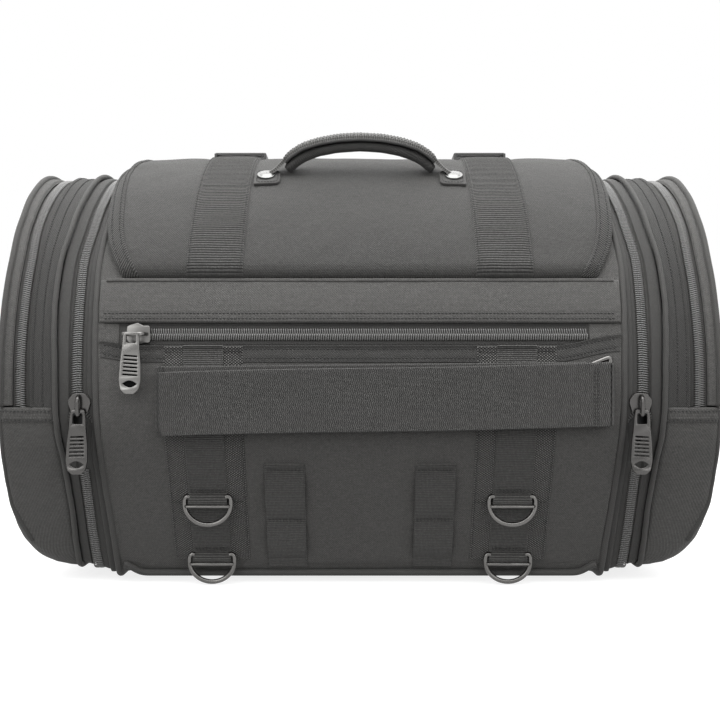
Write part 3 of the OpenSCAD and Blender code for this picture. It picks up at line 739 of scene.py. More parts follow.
def panel_off(U, V):
    st = panel_top(U)
    s = st + (SB - st) * V
    d = s - st
    z = np.interp(s, OUT.s, OUT.p[:, 1])
    lip = 1.1 * np.exp(-(d / 1.6) ** 2)                     # folded edge
    groove = -0.28 * gauss(d, 3.2, 0.55) - 0.28 * gauss(d, 10.4, 0.55)
    puff = 1.2 * np.sin(np.clip((s - st - 12) / (SB - st - 12), 0, 1) * np.pi) * np.sin(np.clip((U + 203) / 406, 0, 1) * np.pi) ** 0.4
    tug = -0.55 * (gauss(U, 62, 24) + gauss(U, -62, 24)) * gauss(z, 55, 34)
    return 0.3 + lip + groove + puff + tug + soft(U, s, 0.9, 0.022, 0.03, 5.0) + 0.25 * nz(U * 0.09, s * 0.07, 8.0)


u = axis_pts(-203, 203, 2.6, 3)
v = np.unique(np.concatenate([np.linspace(0, 0.07, 30), np.linspace(0.07, 1, 76)]))
U, V = np.meshgrid(u, v, indexing="ij")
ob = slab("pocket_panel", panel_map, u, v, panel_off, -1.4, 0.004, BODY, rnd=(0, 0, 1, 1))
lay = ob.data.uv_layers[0]
uvd = np.zeros(len(lay.data) * 2, np.float32)
lay.data.foreach_get("uv", uvd)
uvd = uvd.reshape(-1, 2)
uvd[:, 1] = uvd[:, 1] * (SB - sz(196.6))
lay.data.foreach_set("uv", uvd.ravel())
done(ob, "bag_body", "front_pocket_panel")

# the sewn band along the panel's folded top: a real band, its darker fabric painted shade under the zip
def hem_off(U, V):
    return panel_off(U, V / (SB - panel_top(U)))


# a darker copy of the body weave, painted shade under the zip and storm flap on the real sewn band
HEM_SHADED = weave_mat("hem_fabric_painted_shade", tone(0.74), p=1.0, bump=0.9, dist=0.0006, dark=0.5, var=0.6, slub=0.45)
ob = slab("pocket_hem_band", lambda U, V, O: body_map(U, panel_top(U) + V, O), axis_pts(-202.2, 202.2, 2.6, 3), np.linspace(0.2, 14.0, 26), lambda U, V: hem_off(U, V) + 0.5, lambda U, V: hem_off(U, V) - 0.4, 0.4, HEM_SHADED)
done(ob, "bag_body", slot="body_fabric")

ST = Parts()     # stitches on the bag body


def stitch_body(parts, x, s, o, **kw):
    Pp, Nn = body_line(x, s, o)
    stitches(parts, warp(Pp), Nn, **kw)


xs = np.linspace(-199, 199, 300)
for d in (3.2, 10.4):
    s = panel_top(xs) + d
    v_ = (s - panel_top(xs)) / (SB - panel_top(xs))
    stitch_body(ST, xs, s, panel_off(xs, v_) + 0.56, pitch=2.9, length=1.8)

# storm flap
SF0, SF1 = sz(249.6), sz(213.9)


def flap_off(U, V):
    t = (V - SF0) / (SF1 - SF0)
    g = -0.3 * gauss(V, SF1 - 3.2, 0.6) - 0.3 * gauss(V, SF1 - 7.4, 0.6)
    return 1.7 - 2.0 * np.exp(-((V - SF0) / 2.2) ** 2) + 0.7 * np.sin(t * np.pi) + g + 0.35 * nz(U * 0.03, V * 0.05, 3.0) + 0.15 * nz(U * 0.12, V * 0.12, 1.0)


ob = slab("storm_flap_fabric", body_map, axis_pts(-203.3, 203.3, 2.6, 2), axis_pts(SF0, SF1, 0.9, 1.5), flap_off, -0.4, 1.5, BODY)
done(ob, "bag_body", "storm_flap")
for d in (3.2, 7.4):
    stitch_body(ST, xs, SF1 - d + 0 * xs, flap_off(xs, SF1 - d + 0 * xs) + 0.1, pitch=2.9, length=2.3)


# ---------------------------------------------------------------- zips
def tooth_lines(parts, path, up, side, pitch=1.8, phase=0.0, half=4.7, inner=-0.7, high=1.35, r=0.56, slant=0.55, trim0=0.0, trim1=0.0):
    """One side of a coil zip: bent teeth across a path that lies on the tape, with normals up."""
    p = np.asarray(path, float)
    up = np.asarray(up, float) * np.ones_like(p)
    d = np.r_[0, np.cumsum(np.linalg.norm(np.diff(p, axis=0), axis=1))]
    c = np.arange(trim0 + phase * pitch, d[-1] - trim1, pitch)
    P_ = np.stack([np.interp(c, d, p[:, i]) for i in range(3)], 1)
    N_ = np.stack([np.interp(c, d, up[:, i]) for i in range(3)], 1)
    N_ /= np.linalg.norm(N_, axis=1)[:, None]
    T_ = np.stack([np.interp(c + 0.4, d, p[:, i]) - np.interp(c - 0.4, d, p[:, i]) for i in range(3)], 1)
    T_ /= np.linalg.norm(T_, axis=1)[:, None] + 1e-12
    B_ = np.cross(T_, N_) * side
    lat = np.array([half + 0.15, half - 0.05, half - 0.75, 2.6, 1.1, inner + 0.5, inner])
    hgt = np.array([-0.1, 0.75, high - 0.12, high, high + 0.05, high - 0.25, 0.35])
    rad_ = np.array([0.55, 0.85, 1.0, 1.0, 1.05, 1.1, 0.7]) * r
    sl = slant * (1 - (lat - inner) / (half - inner))
    k = 6
    a = np.linspace(0, 2 * np.pi, k, endpoint=False)
    m = len(lat)
    # the section turns with the bend of the tooth
    dl, dh = np.gradient(lat), np.gradient(hgt)
    q = np.hypot(dl, dh)
    nl, nh = -dh / q, dl / q
    if np.mean(nh) < 0:
        nl, nh = -nl, -nh
    V = (P_[:, None, None] + (lat[None, :, None, None] * B_[:, None, None]) + (hgt[None, :, None, None] * N_[:, None, None]) + (sl[None, :, None, None] * T_[:, None, None])
         + rad_[None, :, None, None] * (np.cos(a)[None, None, :, None] * T_[:, None, None] * 1.05
                                        + np.sin(a)[None, None, :, None] * (nl[None, :, None, None] * B_[:, None, None] + nh[None, :, None, None] * N_[:, None, None])))
    base = grid_faces(m, k, wrap_v=True)
    e = (m - 1) * k
    caps = np.array([[0, 2, 1, 1], [0, 3, 2, 2], [0, 4, 3, 3], [0, 5, 4, 4], [e, e + 1, e + 2, e + 2], [e, e + 2, e + 3, e + 3], [e, e + 3, e + 4, e + 4], [e, e + 4, e + 5, e + 5]])
    one = np.concatenate([base, caps])
    n = len(c)
    F = (one[None] + (np.arange(n) * m * k)[:, None, None]).reshape(-1, 4)
    v = V.reshape(-1, 3)
    parts.add(v, F, np.stack([v[:, 0], v[:, 2]], 1))


# front pocket zip: tape, end tabs and chain
ZC = 205.1
SC = sz(ZC)
ob = slab("front_zip_tape_cloth", body_map, axis_pts(-202, 202, 3, 2), axis_pts(sz(214.2), sz(190.0), 1.5, 1),
          lambda U, V: -1.9 - 0.25 * gauss(V, SC, 5) + 0.12 * nz(U * .05, V * .2, 4), -2.9, 0.6, TAPE)
done(ob, "bag_body", "front_zip_tape")
P = Parts()
for x0, x1 in ((-202.5, -187.5), (178.5, 202.5)):
    slab("t", body_map, axis_pts(x0, x1, 2, 1.5), axis_pts(sz(214), sz(195), 1.5, 1.2), lambda U, V: -0.7 + 0.3 * nz(U * .2, V * .2), -2.4, 1.2, BODY, parts=P)
tabs = P.make("zip_end_tabs", BODY)
done(tabs, "bag_body")
P = Parts()
xx = np.linspace(-169, 177.5, 200)
pth, nrm = body_line(xx, SC + 0 * xx, -1.85)
for side in (1, -1):
    tooth_lines(P, pth, nrm, side, phase=0.0 if side > 0 else 0.5, high=1.45)
y, z = OUT.at(SC, -1.2)
chain = P.make("front_zip_teeth", COIL)
done(chain, "bag_body", "front_zip_chain")
for d in (-7.4, 7.4):
    stitch_body(ST, np.linspace(-186, 178, 250), SC + d + np.zeros(250), -1.75, pitch=2.4, length=1.9, r=0.25)

# expansion zips: inner half on the body, outer half on the end module
EX = 218.9
S_SL = sz(150.6)                     # slider
S_LOW = sz(96.0)                     # where the chain starts again below the pull
ROTS = {-1: "left", 1: "right"}
for sg in (-1, 1):
    side = ROTS[sg]
    for half_, body, x_in, x_out in ((-1, "bag_body", 206.5, EX - 0.2), (1, f"end_module_{side}", EX + 0.2, 236.5)):
        # the tape with its folded fabric edge; below the slider the two halves part in a V
        def vgap(V, k=half_):
            return 5.6 * sstep(V, S_SL + 5, S_SL + 13) * (1 - sstep(V, S_SL + 20, S_SL + 40))

        def tmap(U, V, O, k=half_, sg=sg):
            # U is the distance from the chain's centre, outwards from it
            g = vgap(V) * np.exp(-U / 7.0)
            return body_map(sg * (EX + k * (U + g)), V, O)

        w = EX - x_in if half_ < 0 else x_out - EX
        uu = np.unique(np.round(np.concatenate([np.linspace(0.25, 6.2, 6), np.linspace(6.2, 8.2, 9), np.linspace(8.2, w, 6)]), 3))

        def toff(U, V, w=w):
            fold = sstep(U, 6.6, 7.6)
            crown = 0.9 * np.sin(np.clip((U - 6.6) / (w - 6.6), 0, 1) * np.pi) ** 0.6
            return -5.3 + 1.9 * fold + crown * fold + 0.25 * nz(U * 0.3, V * 0.05, 6.0) * fold

        vv = np.linspace(0, OUT.L, 520)
        U, V = np.meshgrid(uu, vv, indexing="ij")
        T = tmap(U, V, toff(U, V))
        B = tmap(U, V, np.full(U.shape, -7.2))
        sec = np.concatenate([T, B[::-1]], 0)
        n_, m_ = sec.shape[:2]
        sec = sec[:, :-1]
        a = np.arange(n_ * (m_ - 1)).reshape(n_, m_ - 1)
        f = np.stack([a, np.roll(a, -1, 0), np.roll(np.roll(a, -1, 0), -1, 1), np.roll(a, -1, 1)], -1).reshape(-1, 4)
        uvv = np.stack([np.concatenate([U, U[::-1] + 50], 0)[:, :-1].ravel(), np.concatenate([V, V[::-1]], 0)[:, :-1].ravel()], 1)
        ob = mesh_obj(f"expansion_tape_{'inner' if half_ < 0 else 'outer'}_{side}", sec, f, uvv, TAPE)
        fix_normals(ob)
        if half_ < 0:
            done(ob, body, *([] if sg > 0 else ["expansion_zip_inner"]))
        else:
            done(ob, body, f"expansion_zip_outer_{side}")
        P = Parts()
        # upper run: from the flared end below the slider, up and over to the lower front end
        s = np.concatenate([np.linspace(S_SL + 15.5, S_SL, 24), np.linspace(S_SL - 1, -(OUT.L - S_LOW), 900)])
        g = half_ * (9.0 * sstep(s, S_SL + 3, S_SL + 15) ** 1.1)
        pth, nrm = body_line(sg * (EX + g), s, -5.15)
        tooth_lines(P, warp(pth), nrm, half_ * sg * 1.0, phase=0.0 if half_ < 0 else 0.5, high=1.45, half=4.0)
        ob = P.make(f"expansion_teeth_{'inner' if half_ < 0 else 'outer'}_{side}", COIL, warped=False)
        done(ob, body)

# end pocket zips
EN = 268.0
S_F = sz(147.2)
for sg in (-1, 1):
    side = ROTS[sg]
    mod, door = f"end_module_{side}", f"end_door_{side}"
    vv = np.linspace(-S_F, S_F, 420)
    # gusset: folded strip with two stitch rows
    def goff(U, V):
        d = 259.6 - U
        puff = -0.9 * np.sin(np.clip((U - 241) / 18.6, 0, 1) * np.pi)
        return -1.9 + puff + 0.5 * np.exp(-(d / 1.3) ** 2) - 0.3 * gauss(d, 3.0, 0.5) - 0.3 * gauss(d, 10.5, 0.5) + 0.55 * nz(U * .08, V * .03, 1.5 + sg) + 0.2 * nz(U * .3, V * .1, 2)
    ob = slab(f"gusset_{side}", lambda U, V, O: body_map(sg * U, V, O), axis_pts(240.6, 259.6, 0.8, 1.0), axis_pts(-S_F, S_F, 3.0, 2), goff, -4.9, 0.9, GUSSET)
    done(ob, mod, f"pocket_gusset_{side}")
    # tape and chain
    ob = slab(f"end_zip_tape_{side}", lambda U, V, O: body_map(sg * U, V, O), np.concatenate([np.linspace(257.5, 272.9, 14)]), axis_pts(-S_F, S_F, 3.0, 2),
              lambda U, V: -6.3 + 0 * U, -7.4, 0.4, TAPE)
    done(ob, mod, f"end_zip_{side}")
    for half_, body in ((-1, mod), (1, door)):
        P = Parts()
        s = np.linspace(S_F - 0.5, -S_F + 0.5, 700)
        pth, nrm = body_line(sg * EN + 0 * s, s, -6.25)
        tooth_lines(P, warp(pth), nrm, half_ * sg * 1.0, phase=0.0 if half_ < 0 else 0.5, high=1.5, half=3.8)
        ob = P.make(f"end_teeth_{'inner' if half_ < 0 else 'outer'}_{side}", COIL, warped=False)
        done(ob, body)


# ---------------------------------------------------------------- piping
def piping(name, body, x, off, r, nodes=(), s0=None, s1=None, wob=0.3, xfun=None, seed=0.0, mat=None):
    P = Parts()
    full = s0 is None
    s = np.linspace(0, OUT.L, 420)[:-1] if full else np.linspace(s0, s1, 320)
    X = x + wob * nz(s * 0.03, 0 * s + x, seed) if xfun is None else xfun(s)
    o = off + 0.25 * nz(s * 0.025, 0 * s - x, seed + 1)
    pth, nrm = body_line(X, s, o)
    # a round cord in folded cloth; its flat skirt, sewn in on the low side, is not built
    sec = circle(r, 14)
    t, n, b = frames(pth, full, nrm)
    k = len(sec)
    V = pth[:, None] + sec[None, :, 0, None] * b[:, None] + sec[None, :, 1, None] * n[:, None]
    f = grid_faces(len(pth), k, wrap=full, wrap_v=True)
    uv = np.stack([np.repeat((np.arange(k) / k * 2 * np.pi * r)[None], len(pth), 0).ravel(), np.repeat(s[:, None], k, 1).ravel()], 1)
    vv_ = V.reshape(-1, 3)
    if not full:
        c0 = len(vv_)
        vv_ = np.concatenate([vv_, pth[:1], pth[-1:]])
        uv = np.concatenate([uv, [[0, 0], [0, 1]]])
        i = np.arange(k); j = (i + 1) % k; e = (len(pth) - 1) * k
        f = np.concatenate([f, np.stack([np.full(k, c0), i, j, j], 1), np.stack([np.full(k, c0 + 1), e + j, e + i, e + i], 1)])
    P.add(vv_, f, uv)
    ob = P.make(name, mat or PIPE)
    fix_normals(ob)
    return done(ob, body, *nodes)


for sg in (-1, 1):
    side = ROTS[sg]
    piping(f"body_piping_{side}", "bag_body", sg * 205.6, -0.5, 2.2, ["body_piping"] if sg < 0 else [], seed=1.0 + sg)
    piping(f"end_piping_{side}_cord", f"end_module_{side}", sg * 238.6, -0.9, 2.3, [f"end_piping_{side}"], seed=3.0 + sg)
    piping(f"door_piping_{side}", f"end_door_{side}", sg * 280.6, -2.0, 2.3, [], s0=-S_F + 1.5, s1=S_F - 1.5, seed=5.0 + sg)
    # folded fabric band between the zip's tape and the piping
    ob = slab(f"door_band_{side}", lambda U, V, O: body_map(sg * U, V, O), np.unique(np.concatenate([np.linspace(272.9, 274.4, 6), np.linspace(274.4, 281.0, 9)])), axis_pts(-S_F + 1.5, S_F - 1.5, 3.0, 2),
              lambda U, V: -3.6 + 0.7 * np.sin(np.clip((U - 273) / 8, 0, 1) * np.pi) ** 0.7 - 1.2 * np.exp(-(U - 272.9) / 0.5) + 0.25 * nz(U * .2, V * .05, 9.0), -6.2, 0.4, BODY)
    done(ob, f"end_door_{side}")


# ---------------------------------------------------------------- end caps and lower end panels
CENTER = np.array([0.0, 185.0])
for sg in (-1, 1):
    side = ROTS[sg]
    vs = np.linspace(-S_F, S_F, 260)
    ts = np.array([0, 0.6, 1.4, 2.4, 3.6, 5, 6.8, 9, 12, 16, 21, 28, 37, 48, 62, 78, 96, 116, 138])
    # inward distance and height of the dome: from the piping round the shoulder to the flat face
    y0, z0 = OUT.at(vs, -3.2)
    rows = []
    uvr = []
    for t in ts:
        k = t / 150.0
        yy = y0 * (1 - k) + 0 * k
        zz = z0 * (1 - k) + 147.2 * k
        zz = np.maximum(zz, 147.2)
        x = 280.4 + 4.4 * (1 - np.exp(-t / 7.0)) + 1.6 * (1 - np.exp(-t / 45.0))
        bulge_in = 0.7 * np.exp(-((t - 2.0) / 2.4) ** 2)     # the shoulder swells past the piping
        r_ = np.hypot(y0, z0 - 150) + 1e-6
        yy = yy + y0 / r_ * bulge_in
        zz = zz + np.maximum(z0 - 150, 0) / r_ * bulge_in
        wv = 0.55 * nz(yy * 0.03, zz * 0.03, 2.0 + sg) * min(1, t / 8)
        rows.append(np.stack([sg * (x + wv), yy, zz], -1))
        uvr.append(np.stack([yy, zz + (t < 9) * 0], -1))
    R = np.array(rows)
    last = R[-1].copy()
    last[:, 1] *= 0.0
    last[:, 2] = 147.2 + (last[:, 2] - 147.2) * 0.0
    R = np.concatenate([R, last[None]], 0)
    n_, m_ = R.shape[:2]
    # back layer
    Bk = R.copy()
    Bk[..., 0] -= sg * 2.4
    f1 = grid_faces(n_, m_)
    kk = n_ * m_
    a = np.arange(kk).reshape(n_, m_)
    loop = np.concatenate([a[:-1, 0], a[-1, :-1], a[:0:-1, -1], a[0, :0:-1]])
    nxt = np.roll(loop, -1)
    side_f = np.stack([nxt, loop, loop + kk, nxt + kk], 1)
    vv_ = np.concatenate([R.reshape(-1, 3), Bk.reshape(-1, 3)])
    ff = np.concatenate([f1, f1[:, ::-1] + kk, side_f])
    uv = np.stack([vv_[:, 1], vv_[:, 2]], 1)
    ob = mesh_obj(f"end_cap_fabric_{side}", vv_, ff, uv, BODY)
    bm = bmesh.new(); bm.from_mesh(ob.data)
    bmesh.ops.remove_doubles(bm, verts=bm.verts, dist=1e-6)
    bmesh.ops.dissolve_degenerate(bm, edges=bm.edges, dist=1e-6)
    bmesh.ops.recalc_face_normals(bm, faces=bm.faces)
    bm.to_mesh(ob.data); bm.free()
    done(ob, f"end_door_{side}", f"end_cap_{side}")

# lower end panel: a soft trough below the pocket door
CORN = np.array([[250, 8.5], [257, 10.8], [263.2, 15], [268.6, 22.5], [273, 33], [276.8, 46], [279.8, 62], [281.8, 80], [282.6, 100], [283.0, 147.2]])
CORN_Z = np.linspace(0, 160, 641)
CORN_X = np.interp(CORN_Z, CORN[:, 1], CORN[:, 0])
CORN_X[40:-40] = np.convolve(CORN_X, np.hanning(63) / np.hanning(63).sum(), "same")[40:-40]


def x_end(z):
    return np.interp(z, CORN_Z, CORN_X)


for sg in (-1, 1):
    side = ROTS[sg]
    # each row is a horizontal section from the piping round the corner to the far piping
    zl = np.concatenate([np.linspace(147.2, 30, 52), np.array([26, 22.5, 19.5, 17, 15, 13.4, 12.2, 11.2])])
    rows, uvs = [], []
    for z in zl:
        s = sz(max(z, BASE_H + 6))
        yw, _ = OUT.at(s, -2.6)
        yw = -float(yw)
        xe = float(x_end(z))
        low = sstep(147 - z, 80, 136)
        rc = 9 + 5 * low
        rc = min(rc, xe - 241.5)
        x0 = 240.4
        pu = 2.2 * math.sin(math.pi * np.clip((147.2 - z) / 136, 0, 1)) ** 0.7
        # quarter: wall, corner, end wall
        q = []
        for t in np.linspace(0, 1, 9):
            xx_ = x0 + (xe - rc - x0) * t
            q.append([xx_, -(yw - 0.6 + pu * 0.8 * math.sin(math.pi * min(1, t * 0.9)) * 1.0)])
        yb = q[-1][1]
        for t in np.linspace(0, 1, 9)[1:]:
            a_ = t * math.pi / 2
            q.append([xe - rc + rc * math.sin(a_), yb + rc * (1 - math.cos(a_))])
        ye = q[-1][1]
        for t in np.linspace(0, 1, 22)[1:]:
            q.append([xe + 1.0 * math.sin(t * math.pi / 2), ye * (1 - t)])
        q = np.array(q)
        full = np.concatenate([q, (q * [1, -1])[-2::-1]])
        wv = 0.6 * nz(full[:, 0] * 0.05 + full[:, 1] * 0.03, z * 0.035 + 0 * full[:, 0], 4.0 + sg) + 0.2 * nz(full[:, 1] * 0.1, z * 0.12 + 0 * full[:, 0], 1.0)
        wv *= np.clip((147.2 - z) / 10, 0, 1)
        t2 = np.gradient(full, axis=0); t2 /= np.linalg.norm(t2, axis=1)[:, None]
        nn = np.stack([-t2[:, 1], t2[:, 0]], 1)
        nn = np.where((nn[:, :1] * 1.0 + 0) < 0, nn, nn)
        nrm_out = np.stack([t2[:, 1], -t2[:, 0]], 1)
        full = full + nrm_out * wv[:, None]
        rows.append(np.stack([sg * full[:, 0], full[:, 1], np.full(len(full), z)], 1))
        dd = np.r_[0, np.cumsum(np.linalg.norm(np.diff(full, axis=0), axis=1))]
        uvs.append(np.stack([dd - dd[-1] / 2, np.full(len(full), z)], 1))
    R = np.array(rows)
    uvs = np.array(uvs)
    # belly: the last rows close under the bag
    bott = R[-1].copy()
    bott[:, 0] = sg * 240.5
    bott[:, 2] = 9.0
    mid = 0.5 * (R[-1] + bott); mid[:, 2] = 9.4
    R = np.concatenate([R, mid[None], bott[None]], 0)
    uvs = np.concatenate([uvs, uvs[-1:] - [0, 8], uvs[-1:] - [0, 20]], 0)
    n_, m_ = R.shape[:2]
    ob = mesh_obj(f"lower_panel_{side}", R, grid_faces(n_, m_), uvs.reshape(-1, 2), BODY)
    fix_normals(ob)
    md = ob.modifiers.new("s", "SOLIDIFY"); md.thickness = 1.4 * MM; md.offset = -1 if True else 1
    apply_mods(ob)
    done(ob, f"end_module_{side}", f"lower_end_panel_{side}")
    # folded hem with two stitch rows along the top
    P = Parts()
    mod = f"end_module_{side}"
    SE = Parts()
    top = R[0].copy()
    dtop = np.r_[0, np.cumsum(np.linalg.norm(np.diff(top, axis=0), axis=1))]
    t2 = np.gradient(top[:, :2], axis=0); t2 /= np.linalg.norm(t2, axis=1)[:, None]
    nout = np.stack([t2[:, 1] * sg * 1.0, -t2[:, 0] * sg, 0 * t2[:, 0]], 1)
    # keep the outward direction away from the middle of the end
    ctr = np.array([sg * 262.0, 0, 147.0])
    flip_ = ((top - ctr) * nout).sum(1) < 0
    nout[flip_] *= -1
    hem = []
    for dz, of in ((0.55, -0.6), (0.75, 0.3), (0.45, 1.0), (-0.5, 1.25), (-2.5, 0.95), (-4.2, 1.05), (-7.5, 1.05), (-10.4, 0.85), (-11.4, 0.2), (-11.6, -0.6)):
        k_ = np.argmin(np.abs(zl - (147.2 + min(dz, 0))))
        row = top.copy()
        if dz < 0:
            # follow the panel's own surface
            zt = 147.2 + dz
            i1 = int(np.searchsorted(-zl, -zt)); i1 = min(max(i1, 1), len(zl) - 1); i0 = i1 - 1
            w_ = (zl[i0] - zt) / (zl[i0] - zl[i1])
            row = R[i0] * (1 - w_) + R[i1] * w_
        else:
            row[:, 2] += dz
        hem.append(row + nout * of)
    H = np.array(hem)
    uvh = np.stack([np.repeat(dtop[None], len(H), 0).ravel(), np.repeat((np.arange(len(H)) * 1.4)[:, None], m_, 1).ravel()], 1)
    ob = mesh_obj(f"lower_hem_{side}", H, np.concatenate([grid_faces(len(H), m_)]), uvh, BODY)
    fix_normals(ob)
    md = ob.modifiers.new("s", "SOLIDIFY"); md.thickness = 0.5 * MM; md.offset = -1
    apply_mods(ob)
    done(ob, mod)
    for dz in (-2.4, -9.4):
        zt = 147.2 + dz
        i1 = int(np.searchsorted(-zl, -zt)); i0 = i1 - 1
        w_ = (zl[i0] - zt) / (zl[i0] - zl[i1])
        row = R[i0] * (1 - w_) + R[i1] * w_ + nout * 1.25
        stitches(SE, warp(row), nout, pitch=3.0, length=1.8)
    # the panel's side seams carry on the door's piping
    z_low = 34.0
    for yy in (-1, 1):
        zz = np.linspace(145.5, z_low, 90)
        pts, nn = [], []
        for z in zz:
            y_, z_ = OUT.at(sz(max(z, BASE_H + 6)), -6.2)
            xf = min(280.4, float(x_end(z)) - 2.2 - 4.5 * float(sstep(80 - z, 0, 45)))
            pts.append([sg * xf, yy * -float(y_) * 1.0, z])
            nn.append([sg * 0.35, yy * 0.93, -0.1])
        pts = np.array(pts)
        # slide the cord onto the panel's corner surface
        out_pts = []
        for p_ in pts:
            i1 = int(np.searchsorted(-zl, -p_[2])); i1 = min(max(i1, 1), len(zl) - 1); i0 = i1 - 1
            w_ = (zl[i0] - p_[2]) / (zl[i0] - zl[i1])
            row = R[i0] * (1 - w_) + R[i1] * w_
            m2 = np.sign(row[:, 1]) == yy
            rr = row[m2]
            k_ = np.argmin(np.abs(np.abs(rr[:, 0]) - abs(p_[0])))
            order = np.argsort(np.abs(rr[:, 0]))
            first = rr[np.abs(rr[:, 1]) > 20]
            xa = np.abs(first[:, 0])
            o_ = np.argsort(xa)
            yv = np.interp(abs(p_[0]), xa[o_], np.abs(first[:, 1])[o_])
            out_pts.append([p_[0], yy * (yv + 0.2), p_[2]])
        sweep(P, np.array(out_pts), circle(1.7, 12), up=(sg * 0.5, yy * 0.85, 0))
    ob = P.make(f"lower_piping_{side}", PIPE)
    fix_normals(ob)
    done(ob, mod)
    # gusset stitches
    for d in (3.0, 10.5):
        s = np.linspace(-S_F + 2, S_F - 2, 600)
        x = 259.6 - d + 0 * s
        o = goff(x, s)
        Pp, Nn = body_line(sg * x, s, o + 0.1)
        stitches(SE, warp(Pp), Nn, pitch=3.0, length=1.8)
    ob = SE.make(f"end_stitches_{side}", THREAD, warped=False)
    done(ob, mod)


# ---------------------------------------------------------------- the lid
LA0 = 155.4


def lid_o(a):
    return np.where(a >= A_TOP, 7 + 4 * (LA0 - a) / (LA0 - A_TOP), 11 + 5.4 * (A_TOP - a) / (A_TOP - 90))


a1 = np.linspace(LA0, A_TOP, 120)
a2 = np.linspace(A_TOP, 90, 90)[1:]
lp = np.concatenate([
    np.stack([WALL_CY + (WALL_R + lid_o(a1)) * np.cos(rad(a1)), WALL_CZ + (WALL_R + lid_o(a1)) * np.sin(rad(a1))], 1),
    np.stack([(TOP_R + lid_o(a2)) * np.cos(rad(a2)), TOP_CZ + (TOP_R + lid_o(a2)) * np.sin(rad(a2))], 1)])
lp = np.concatenate([lp, (lp * [-1, 1])[-2::-1]])
LID = Curve2(lp, smooth=14)
if LID.n[len(LID.n) // 2, 1] < 0:
    LID.n = -LID.n
LL = LID.L


def lid_edge(s):
    """Half width of the lid at arc length s: cut back at the sewn corners, widest above them."""
    d = np.minimum(s, LL - s)
    return np.interp(d, [0, 8, 18, 30, 46, 66, 95, 125, 145, 160, 180, 200], [187.5, 191.5, 196.5, 201, 204.8, 207.2, 210.5, 213, 213, 211, 207, 205])


def lid_top(x, s):
    """Stand-off of the lid's face from its curve."""
    e = lid_edge(s)
    d = e - np.abs(x)
    front_ = np.minimum(s, 60.0)
    back_ = np.minimum(LL - s, 60.0)
    roll = -7.6 * (1 - edge_drop(front_, 11)) - 2.6 * (1 - edge_drop(back_, 5))
    crest = sstep(np.minimum(s, LL - s), 40, 150)
    droop = -(2.0 + 5.6 * crest) * (1 - sstep(d, 0, 12.5)) ** 1.25
    seam = -0.8 * gauss(d, 11.6, 1.3) - 0.4 * gauss(d, 6.5, 0.8)
    puff = 1.3 * np.sin(np.clip(s / LL, 0, 1) * np.pi) ** 0.6 * sstep(d, 6, 60)
    hug = -0.9 * (gauss(np.abs(x), 92.0, 5) + gauss(np.abs(x), 138, 5)) * sstep(s, 5, 30)
    soft_ = 1.0 * nz(x * 0.021, s * 0.024, 11.0) + 0.28 * nz(x * 0.07, s * 0.065, 4.0)
    pinch = 0.5 * nz(x * 0.16, s * 0.02, 9.0) * np.exp(-s / 16.0)
    return 0.2 + roll + droop + seam + puff + hug + (soft_ * sstep(np.minimum(s, LL - s), 2, 25)) + pinch


def lid_map(U, V, O):
    """U runs from -1 to 1 across the lid."""
    x = U * lid_edge(V)
    y, z = LID.at(V, O)
    return np.stack([x, y, z], -1)


def lid_map_x(U, V, O):
    y, z = LID.at(V, O)
    return np.stack([U + 0 * y, y, z], -1)


uu = np.sort(np.concatenate([np.linspace(-1, 1, 171), [-0.999, 0.999, -0.996, 0.996, -0.985, 0.985, -0.99, 0.99]]))
vv = axis_pts(0, LL, 2.4, 11)
U, V = np.meshgrid(uu, vv, indexing="ij")
X = U * lid_edge(V)
dd = edge_drop(lid_edge(V) - np.abs(X), 2.4)
Tt = lid_top(X, V)
O = -4.6 + np.minimum(Tt, 0) * 0.0 + (Tt + 4.6) * dd
O = np.maximum(O, -6.0 - 2.6)
Bt = np.minimum(-4.8 + 0 * Tt, Tt - 1.4)
P1 = lid_map(U, V, np.where(dd > 0, np.maximum(O, Bt + 0.2), Bt + 0.2))
P0 = lid_map(U, V, Bt)
n_, m_ = U.shape
k_ = n_ * m_
f1 = grid_faces(n_, m_)
a = np.arange(k_).reshape(n_, m_)
loop = np.concatenate([a[:-1, 0], a[-1, :-1], a[:0:-1, -1], a[0, :0:-1]])
nxt = np.roll(loop, -1)
sf = np.stack([nxt, loop, loop + k_, nxt + k_], 1)
uv = np.stack([X.ravel(), V.ravel()], 1)
# the lid panel's darker weave is painted shade against the top light
ob = mesh_obj("lid_fabric_panel", np.concatenate([P1.reshape(-1, 3), P0.reshape(-1, 3)]), np.concatenate([f1, f1[:, ::-1] + k_, sf]), np.concatenate([uv, uv]), LID_SHADED, warped=False)
fix_normals(ob)
done(ob, "lid", "lid_panel")

